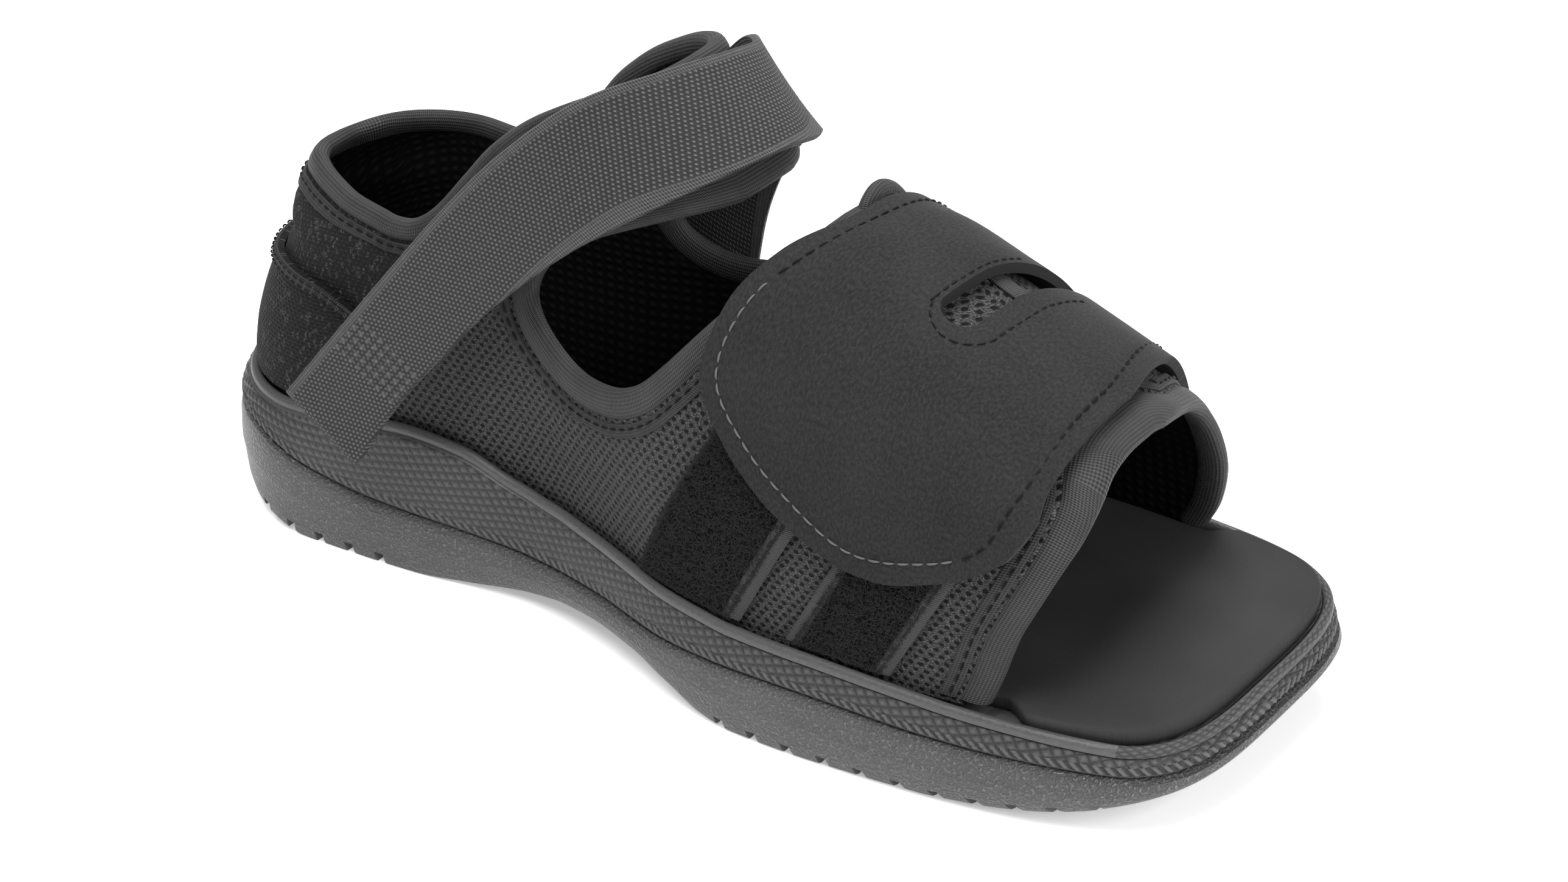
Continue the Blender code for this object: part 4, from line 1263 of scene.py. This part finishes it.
for opening, edge, roll, count, closed, flange in BINDINGS:
    free, root = round_both(edge, 0.0, count, closed), round_both(edge, roll, count, closed)
    bead(
        f"{opening}_binding_look",
        free,
        root,
        BINDING_THICKNESS,
        [tape_look],
        closed,
        stands_for=[f"{opening}_binding"],
        cad_slot="binding_tape",
    )
    for far in (False, True):
        side = "far" if far else "near"
        inner, outer = (along_upper(edge(roll + out, far, count), far, 0.0)[0] for out in (0.0004, flange))
        name = f"{opening}_flange_{side}"
        strip_over(name, inner, outer, FLANGE_LIFT, FLANGE_THICKNESS, [flange_look], cad_slot="binding_tape")
        seam = edge(roll + flange * 0.45, far, count * 3)
        path, normals = along_upper(seam, far, FLANGE_LIFT + FLANGE_THICKNESS)
        stitches(f"{opening}_stitches_{side}", path, normals, TAPE_STITCH, thread_dark)

# Heel counter
# A padded panel of flecked knit that cups the heel. A curved tape finishes its top, and two lines of thread
# sew tape and panel to the upper.

COUNTER_THICKNESS = 0.0016
RIM_CLEAR = 0.0012
COUNTER_TOP_ROWS = [
    (0.000, 0.495),
    (0.050, 0.510),
    (0.090, 0.505),
    (0.130, 0.475),
    (0.165, 0.435),
    (0.190, 0.370),
    (0.215, 0.300),
]
COUNTER_REACH = 0.2296
COUNTER_STITCH = (0.0026, 0.0020, 0.00024)
COUNTER_TAPE_FROM, COUNTER_TAPE_THICKNESS = 0.915, 0.0008
top_of = through(COUNTER_TOP_ROWS, 1)


def counter_point(place, part):
    """A point of the counter, from -1 to 1 around the heel and 0 to 1 up it."""
    run = abs(place) * COUNTER_REACH * LENGTH
    turn = min(run / HEEL_ROUND, math.pi / 2)
    past = max(0.0, run - HEEL_ROUND * math.pi / 2)
    distance = HEEL_ROUND * (1 - math.cos(turn)) + past
    bottom = rim_height(distance / LENGTH + 0.03) + RIM_CLEAR
    z = bottom + (top_of(distance / LENGTH) * HEIGHT - bottom) * part
    x = back_of(z / HEIGHT) * LENGTH + distance
    return (x, math.copysign(half_width(x, z), place) if place else 0.0, z)


around = np.linspace(-1, 1, 121)


def close_ends(count, end=0.0025):
    """Shares from 0 to 1 with an extra row close to each end, so that an edge turns down sharply."""
    return np.concatenate([[0, end], np.linspace(2.5 * end, 1 - 2.5 * end, count), [1 - end, 1]])


counter_grid = np.array([[counter_point(place, part) for place in around] for part in close_ends(26)])
counter = cloth(
    "heel_counter_look",
    counter_grid,
    GAP,
    COUNTER_THICKNESS,
    [flecked_knit("counter_fabric", 0.002, 0.010)],
    stands_for=["heel_counter"],
    cad_slot="counter_fabric",
)

# Its tape, and the two stitch lines that hold it
tape_parts = np.linspace(COUNTER_TAPE_FROM, 1.0, 7)
tape_grid = np.array([[counter_point(place, part) for place in around] for part in tape_parts])
counter_top = GAP + COUNTER_THICKNESS
cloth("counter_tape", tape_grid, counter_top, COUNTER_TAPE_THICKNESS, [flange_look], cad_slot="binding_tape")
places = np.linspace(-1, 1, 240)
for number, part, nearest_row in ((1, 0.935, -5), (2, 0.985, -2)):
    path = np.array([counter_point(place, part) for place in places])
    normals = placed(places, around, outward_of(counter_grid)[nearest_row])
    path = path + normals * (GAP + COUNTER_THICKNESS + 0.0009)
    stitches(f"counter_stitches_{number}", path, normals, COUNTER_STITCH, thread_dark)

# Loop patches
# Two leaning strips of brushed nylon loop, sewn to the near side for the cover flap to close on. Satin
# ribbons run along their edges. The pile is a rough ground with curled loops of yarn standing on it.

PATCH_THICKNESS = 0.0014
PATCHES = [
    # start as a share of LENGTH, width, count of loops, edges with a ribbon
    (0.512, 0.0245, 9000, ["front"]),
    (0.675, 0.0190, 7000, ["rear", "front"]),
]
PATCH_TOP = 0.530
PATCH_LEAN = 0.600
pile_look = Finish("loop_pile", 1.0, sheen=0.0, specular=0.1)
pile_look.grey(pile_look.noise(1.6, 3.0).rise(0.35, 0.8) * 0.006 + 0.001)
pile_look.relief(pile_look.noise(1.3, 3.0), 0.0009)
loop_thread = plain("loop_thread", 0.013, 0.6)
RIBBON_EDGES = {"rear": (-0.10, 0.06), "front": (0.92, 1.10)}
ribbon_look = ribbed("edge_ribbon", 0.55, 0.5, 0.008, 0.050, 0.00014, 0.55)


def patch_grid(start, width, shares, heights):
    """Points of a leaning patch, a share of its width along and of its height up."""
    rows = []
    for share in shares:
        x = start * LENGTH + share * width * math.hypot(1, PATCH_LEAN)
        bottom = rim_height(x / LENGTH) + RIM_CLEAR
        z = bottom + (PATCH_TOP * HEIGHT - bottom) * heights
        rows.append(on_upper(np.column_stack([x + PATCH_LEAN * (z - bottom), z])))
    return np.array(rows)


CHANCE = np.random.default_rng(5)


def loops_over(name, grid, lift, count, finish):
    """Small curled loops of yarn standing over a grid of points."""
    normal = outward_of(grid)
    rows, columns = grid.shape[:2]
    points, faces = [], []
    for _ in range(count):
        i, j = CHANCE.integers(0, rows - 1), CHANCE.integers(0, columns - 1)
        a, b = CHANCE.random(2)
        spot = grid[i, j] * (1 - a) * (1 - b) + grid[i + 1, j] * a * (1 - b)
        spot = spot + grid[i, j + 1] * (1 - a) * b + grid[i + 1, j + 1] * a * b
        up = normal[i, j]
        side = unit(np.cross(up, CHANCE.normal(size=3)))
        lean = np.cross(up, side)
        long, tall = 0.0004 + 0.0006 * CHANCE.random(), 0.0003 + 0.0006 * CHANCE.random()
        half_yarn = 0.00006
        base = len(points)
        for k in range(5):
            angle = math.pi * k / 4
            at = spot + up * (lift + tall * math.sin(angle)) - side * long * math.cos(angle)
            at = at + lean * long * 0.5 * math.sin(2 * angle)
            points += [at - lean * half_yarn, at + lean * half_yarn]
        faces += [[base + 2 * k, base + 2 * k + 1, base + 2 * k + 3, base + 2 * k + 2] for k in range(4)]
    return built(name, own_frame(np.array(points)), faces, [finish], cad_slot="loop_pile")


for number, (start, width, loop_count, ribboned) in enumerate(PATCHES, 1):
    grid = patch_grid(start, width, close_ends(14, 0.01), close_ends(26, 0.01))
    cloth(
        f"loop_patch_{number}_look",
        grid,
        GAP,
        PATCH_THICKNESS * 0.8,
        [pile_look],
        stands_for=[f"loop_patch_{number}"],
        cad_slot="loop_pile",
    )
    loops_over(f"loops_{number}", grid, GAP + PATCH_THICKNESS * 0.7, loop_count, loop_thread)
    for edge in ribboned:
        ribbon = patch_grid(start, width, np.linspace(*RIBBON_EDGES[edge], 7), close_ends(30, 0.01))
        name = f"patch_ribbon_{number}_{edge}"
        cloth(name, ribbon, GAP + 0.0009, 0.0006, [ribbon_look], cad_slot="binding_tape")

# Cover flap
# Thick suede laid over the forefoot, with a rounded near end and a slot that parts two tabs on the far side.
# A line of thread runs a seam's width inside its edge, pale round the near end and dark elsewhere.

FLAP_THICKNESS = 0.0022
SLOT_WIDTH = 0.0090
SLOT_START = -0.0135
FLAP_ROWS = [
    # across (-1 near foot line, 0 ridge, 1 far foot line), rear share, front share
    (-0.775, 0.668, 0.826),
    (-0.700, 0.628, 0.860),
    (-0.600, 0.600, 0.872),
    (-0.500, 0.583, 0.872),
    (-0.350, 0.590, 0.868),
    (-0.200, 0.610, 0.868),
    (0.000, 0.636, 0.866),
    (0.300, 0.630, 0.850),
    (0.620, 0.606, 0.832),
    (0.860, 0.600, 0.820),
]
SLOT_AT, SLOT_LEAN = 0.752, 0.060
rear_of, front_of = through(FLAP_ROWS, 1), through(FLAP_ROWS, 2)
FLAP_START, FLAP_END = FLAP_ROWS[0][0], FLAP_ROWS[-1][0]
FLAP_LIFT = PATCH_THICKNESS + 3 * GAP

# How the near end rounds off: its run across, and the power, root and share kept at its tip
TIP_RUN, TIP_KEPT, TIP_POWER, TIP_ROOT = 0.36, 0.998, 2.8, 2.3


def flap_row(across):
    """Middle and half of the flap's run along the foot, as shares of the length, rounded at its near end."""
    inward = np.clip(1 - (across - FLAP_START) / TIP_RUN, 0, 1)
    keep = (1 - (TIP_KEPT * inward) ** TIP_POWER) ** (1 / TIP_ROOT)
    rear, front = rear_of(across), front_of(across)
    return (rear + front) / 2, (front - rear) / 2 * keep


def across_point(across, share):
    """The point of the upper a share of the way along, and across from near foot line to far one."""
    x = share * LENGTH
    climb = 1 - abs(across)
    heights = np.linspace(FOOT, HEIGHT, 400)
    turn, reach = polar(np.column_stack([np.full(400, x), heights]))
    found = (low_reach(turn) - reach) / (low_reach(turn) - ridge_reach(turn))
    z = np.interp(math.sin(climb * math.pi / 2), found, heights)
    return on_upper(np.array([x, z]), far=across > 0) * ([1, 0, 1] if across == 0 else [1, 1, 1])


def flap_points(acrosses, sides):
    """Grid of the flap on the upper, from near end to tabs and from rear edge (-1) to front edge (1)."""
    rows = []
    for across in acrosses:
        centre, half = flap_row(across)
        rows.append([across_point(across, centre + half * side) for side in sides])
    return np.array(rows)


TIP_CLOSENESS = 1.5
parts = close_ends(110, 0.002) ** TIP_CLOSENESS * (FLAP_END - FLAP_START) + FLAP_START
sides = np.sin(close_ends(60, 0.01) * math.pi - math.pi / 2)
flap_grid = flap_points(parts, sides)
flap_chart = np.stack(np.broadcast_arrays(flap_grid[..., 0] * 1000, runs(flap_grid, 0)[:, 30:31]), axis=-1)


def suede():
    """Short nap with a few pale hairs lying along it."""
    look = Finish("flap_suede", 0.92, sheen=0.05, specular=0.15)
    nap = look.noise(1.7, 4.0, look.u, look.v * 0.6)
    cloud = look.noise(0.05, 2.0)
    hair = look.noise(3.5, 1.0, look.u * 0.5, look.v * 1.8).rise(0.62, 0.76)
    look.grey(nap.rise(0.3, 0.75) * 0.010 + cloud * 0.010 + hair * 0.016 + 0.0045)
    return look.relief(nap, 0.00018)


flap = cloth(
    "cover_flap_look",
    flap_grid,
    FLAP_LIFT,
    FLAP_THICKNESS,
    [suede()],
    flap_chart,
    soft_edge=0.82,
    stands_for=["cover_flap"],
    cad_slot="flap_suede",
)


def slot_end(radius, count):
    """The half circle round the slot's near end in plan."""
    turns = np.linspace(0, -math.pi, count)
    return [(SLOT_AT * LENGTH + radius * math.cos(a), SLOT_START + radius * math.sin(a)) for a in turns]


slot_line = slot_end(SLOT_WIDTH / 2, 17)
slot_line += [(x + SLOT_LEAN * BALL_WIDTH, BALL_WIDTH) for x, _ in (slot_line[-1], slot_line[0])]
form = bmesh.new()
slot_corners = own_frame([(x, y, SOLE_DEPTH) for x, y in slot_line])
slot_base = form.faces.new([form.verts.new(p) for p in slot_corners])
pulled = bmesh.ops.extrude_face_region(form, geom=[slot_base])["geom"]
bmesh.ops.translate(form, vec=(0, 0, HEIGHT), verts=[v for v in pulled if isinstance(v, bmesh.types.BMVert)])
bmesh.ops.recalc_face_normals(form, faces=form.faces)
slot_mesh = bpy.data.meshes.new("slot")
form.to_mesh(slot_mesh)
form.free()
slot_tool = bpy.data.objects.new("slot", slot_mesh)
bpy.context.scene.collection.objects.link(slot_tool)
cut_and_keep(flap, slot_tool)


def flap_top(path):
    """Lifts points of the upper onto the flap's outer face, with the nearest normals."""
    away = outward_of(flap_grid).reshape(-1, 3)
    spots = flap_grid.reshape(-1, 3)
    nearest = np.array([np.argmin(np.sum((spots - point) ** 2, axis=1)) for point in path])
    normals = away[nearest]
    return path + normals * (FLAP_LIFT + FLAP_THICKNESS), normals


SEAM_INSET, SLOT_SEAM = 0.0045, 0.003
FLAP_STITCH, SLOT_STITCH = (0.0035, 0.0027, 0.00026), (0.0030, 0.0023, 0.00022)


def seam_points(count):
    """The line a seam's width inside the flap's edge: along its rear, round its near end, then its front."""
    edge = np.vstack([flap_grid[::-1, 0], flap_grid[0, 1:-1], flap_grid[:, -1]])
    edge = along(edge[::3], count)
    away = flap_top(edge)[1]
    inward = np.cross(unit(np.gradient(edge, axis=0)), away)
    middle = edge.mean(axis=0)
    inward *= np.sign(np.sum(inward[count // 2] * (middle - edge[count // 2])))
    moved = edge + inward * SEAM_INSET
    return np.array([across_point(*nearest_on_flap(point)) for point in moved])


def nearest_on_flap(point):
    """Across and share along the foot of the flap point nearest to this one."""
    distance = np.sum((flap_grid - point) ** 2, axis=2)
    i, j = np.unravel_index(np.argmin(distance), distance.shape)
    centre, half = flap_row(parts[i])
    return parts[i], centre + half * sides[j]


seam = along(seam_points(140)[::7], 400)
seam_path, seam_normals = flap_top(seam)
LIGHT_FROM, LIGHT_TO = 0.36, 0.66
for name, start, end, finish in (
    ("flap_stitches_rear", 0.0, LIGHT_FROM, thread_dark),
    ("flap_stitches_tip", LIGHT_FROM, LIGHT_TO, thread_light),
    ("flap_stitches_front", LIGHT_TO, 1.0, thread_dark),
):
    chosen = slice(int(start * 400), int(end * 400) + 1)
    stitches(name, seam_path[chosen], seam_normals[chosen], FLAP_STITCH, finish)
round_slot = slot_end(SLOT_WIDTH / 2 + SLOT_SEAM, 40)
slot_far = [(x + SLOT_LEAN * 0.03, SLOT_START + 0.03) for x, _ in (round_slot[0], round_slot[-1])]


def drop_on_upper(x, y):
    """The point of the upper straight below a point of the plan."""
    heights = np.linspace(FOOT, HEIGHT * 0.9, 500)
    turn, reach = polar(np.column_stack([np.full(500, x), heights]))
    heights = heights[reach >= ridge_reach(turn)]
    widths = half_width(np.full(len(heights), x), heights, y > 0)
    order = np.argsort(widths)
    return (x, y, float(np.interp(abs(y), widths[order][: len(order)], heights[order])))


slot_plan = along(np.array([slot_far[0]] + round_slot + [slot_far[1]]), 120)
slot_path = np.array([drop_on_upper(x, y) for x, y in slot_plan])
stitches("slot_stitches", *flap_top(slot_path), SLOT_STITCH, thread_dark)

# The ribbon that shows through the slot, and the far panel's bound corner that stands up behind the flap
ribbon_grid = np.array([
    [across_point(across, share) for share in np.linspace(0.722, 0.782, 14)]
    for across in np.linspace(0.10, 0.19, 6)
])
cloth("slot_ribbon", ribbon_grid, 0.0004, 0.0007, [ribbon_look], cad_slot="binding_tape")
corner = np.linspace(0, 1, 28)
corner_line = np.array([across_point(0.04 + 0.34 * part, 0.630 - 0.012 * part) for part in corner])
corner_rise = np.sin(corner * math.pi)[:, None] ** 0.6 * np.array([-0.0010, 0, 0.0062])
bead(
    "far_panel_corner",
    corner_line + corner_rise,
    corner_line + corner_rise - np.array([0, 0, 0.0050]),
    0.0034,
    [tape_look],
    False,
    cad_slot="binding_tape",
)

# Ankle flap
# The near half of the split cuff, a padded tongue that crosses at the instep. It is sewn in along the
# collar's tape, and loop pile covers its face where the strap presses on it.

ANKLE_FLAP_THICKNESS = 0.0019
ANKLE_FLAP_NEAR = 0.25
behind = collar_edge(COLLAR_BINDING_WIDTH + 0.0018, count=200)
ahead = throat_edge(THROAT_BINDING_WIDTH + 0.0022, count=200)
rows = []
for way in np.linspace(ANKLE_FLAP_NEAR, 0.94, 40):
    start, end = behind[round(199 * (0.50 + 0.50 * way))], ahead[round(199 * (0.60 + 0.40 * way))]
    rows.append(on_upper(start + (end - start) * close_ends(20, 0.02)[:, None]))
cuff_grid = np.array(rows)
cuff = cloth(
    "ankle_flap_look",
    cuff_grid,
    2 * GAP,
    ANKLE_FLAP_THICKNESS,
    [pile_look],
    stands_for=["ankle_flap"],
    cad_slot="mesh_fabric",
)
loops_over("cuff_loops", cuff_grid, 2 * GAP + ANKLE_FLAP_THICKNESS * 0.9, 9000, loop_thread)

# Ankle strap
# One-inch honeycomb webbing, sewn low on the far side and pulled over the instep. Its free end closes on the
# near side with a patch of hook tape, held by a sewn box.

STRAP_THICKNESS = 0.0018
STRAP_ROWS = [
    # rear edge x, y, z and front edge x, y, z as shares of LENGTH, half of BALL_WIDTH and HEIGHT
    (0.169, -0.860, 0.360, 0.238, -0.860, 0.255),
    (0.216, -0.805, 0.480, 0.274, -0.805, 0.370),
    (0.270, -0.745, 0.615, 0.318, -0.750, 0.480),
    (0.323, -0.680, 0.745, 0.372, -0.700, 0.600),
    (0.378, -0.600, 0.865, 0.437, -0.620, 0.715),
    (0.435, -0.470, 0.960, 0.500, -0.480, 0.800),
    (0.484, -0.260, 1.000, 0.542, -0.250, 0.846),
    (0.502, 0.010, 0.998, 0.560, 0.030, 0.856),
    (0.491, 0.310, 0.968, 0.548, 0.320, 0.823),
    (0.452, 0.510, 0.930, 0.516, 0.520, 0.785),
    (0.400, 0.620, 0.820, 0.474, 0.650, 0.690),
    (0.357, 0.680, 0.670, 0.440, 0.730, 0.565),
    (0.334, 0.700, 0.480, 0.420, 0.760, 0.420),
    (0.325, 0.700, 0.330, 0.410, 0.750, 0.310),
]
strap_table = np.array(STRAP_ROWS)
strap_scale = [LENGTH, BALL_WIDTH / 2, HEIGHT]
rear = along(strap_table[:, :3] * strap_scale, 150)
front = along(strap_table[:, 3:] * strap_scale, 150)
spread = close_ends(16, 0.012)
strap_grid = np.array([rear + (front - rear) * part for part in spread])
strap_width = float(np.linalg.norm(front - rear, axis=1).mean())


def webbing(width):
    """Honeycomb weave between plain selvedges, with the sewn box of hook tape near its free end."""
    look = Finish("strap_webbing", 0.7, sheen=0.03)
    cell_long, cell_wide = 1.25, 0.95
    rows = look.v / cell_wide
    cell = look.u / cell_long + (rows.floor() % 2.0) * 0.5
    comb = ((cell.fraction() - 0.5) * cell_long).size() + ((rows.fraction() - 0.5) * cell_wide).size()
    honey = 1.0 - comb.rise(0.18, 0.62)
    ribs = wave(look.u, 0.62) * 0.6 + wave(look.v, 0.8) * 0.4
    edge = look.v.rise(1.5, 2.4) * (width - look.v).rise(1.5, 2.4)
    sewn_from, sewn_to, selvedge = 21.0, 33.0, 2.0
    sewn = (look.u > sewn_from) * (look.u < sewn_to) * (look.v > selvedge) * (look.v < width - selvedge)
    squares = wave(look.u, 2.6) * wave(look.v, 2.2)
    weave = honey * edge + ribs * (1.0 - edge)
    height = weave * (1.0 - sewn * 0.4) + squares * sewn * 0.6
    uneven = look.noise(0.5, 2.0) * 0.5 + 0.75
    look.grey((height * 0.074 + 0.020 - sewn * 0.004) * uneven)
    return look.relief(height, 0.00035)


strap = cloth(
    "ankle_strap_look",
    strap_grid,
    2 * GAP,
    STRAP_THICKNESS,
    [webbing(strap_width * 1000)],
    stands_for=["ankle_strap"],
    cad_slot="strap_webbing",
)
hook_look = plain("hook_tape", 0.005, 0.7)
hook_grid = strap_grid[2:-2, 2:46]
cloth("strap_hook", hook_grid, -0.0008, 0.0012, [hook_look], cad_slot="loop_pile")

# Stage, light and camera
# A pale floor in an even white room, with three soft panels of light over it. The camera looks down on the
# near side from ahead of the toe, at the angle and lens solved from the photo.

floor_mesh = bpy.data.meshes.new("floor")
FLOOR_REACH = 6.0
floor_corners = [(x * FLOOR_REACH, y * FLOOR_REACH, 0) for x, y in ((-1, -1), (1, -1), (1, 1), (-1, 1))]
floor_mesh.from_pydata(floor_corners, [], [(0, 1, 2, 3)])
floor = bpy.data.objects.new("floor", floor_mesh)
floor_mesh.materials.append(bpy.data.materials.new("pale_floor"))
floor_mesh.materials[0].use_nodes = True
paint = floor_mesh.materials[0].node_tree.nodes["Principled BSDF"].inputs
paint["Base Color"].default_value = (0.93, 0.93, 0.93, 1)
paint["Roughness"].default_value = 0.9
paint["Specular IOR Level"].default_value = 0.1
paint["Emission Color"].default_value = (1, 1, 1, 1)
paint["Emission Strength"].default_value = 0.35
bpy.context.scene.collection.objects.link(floor)
floor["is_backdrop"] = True

world = bpy.context.scene.world or bpy.data.worlds.new("studio")
bpy.context.scene.world = world
world.use_nodes = True
world.node_tree.nodes["Background"].inputs["Color"].default_value = (1, 1, 1, 1)
world.node_tree.nodes["Background"].inputs["Strength"].default_value = 0.36

LIGHTS = [
    # name, place, size, power
    ("key", (0.15, -0.45, 1.00), 0.6, 12.0),
    ("front", (0.90, -0.25, 0.50), 0.4, 6.5),
    ("top", (-0.05, 0.45, 0.95), 0.6, 13.0),
]
LIT_AT = Vector((0.08, 0, 0.05))
for name, place, size, power in LIGHTS:
    lamp = bpy.data.lights.new(name, "AREA")
    lamp.size, lamp.energy = size, power
    holder = bpy.data.objects.new(name, lamp)
    holder.location = place
    holder.rotation_euler = (LIT_AT - Vector(place)).to_track_quat("-Z", "Y").to_euler()
    bpy.context.scene.collection.objects.link(holder)

AZIMUTH, ELEVATION, ROLL = math.radians(36.46), math.radians(28.73), math.radians(-2.78)
DISTANCE, LENS = 0.9455, 90.84
target = own_frame([(0.1285, 0.0369, 0.0191)])[0]
level = Vector((math.sin(AZIMUTH), -math.cos(AZIMUTH), 0)) * math.cos(ELEVATION)
back = level + Vector((0, 0, math.sin(ELEVATION)))
flat_right = Vector((math.cos(AZIMUTH), math.sin(AZIMUTH), 0))
level_up = back.cross(flat_right)
right = flat_right * math.cos(ROLL) + level_up * math.sin(ROLL)
up = level_up * math.cos(ROLL) - flat_right * math.sin(ROLL)
camera = bpy.data.objects.new("camera", bpy.data.cameras.new("camera"))
bpy.context.scene.collection.objects.link(camera)
camera.data.lens, camera.data.sensor_width = LENS, 36
turn = Matrix((right, up, back)).transposed().to_4x4()
camera.matrix_world = Matrix.Translation(Vector(target) + back * DISTANCE) @ turn
bpy.context.scene.camera = camera
bpy.context.scene.view_settings.view_transform = "Standard"

with_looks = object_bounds()
size = {"cad": [list(corner) for corner in CAD_BOX], "visual": [list(corner) for corner in with_looks]}
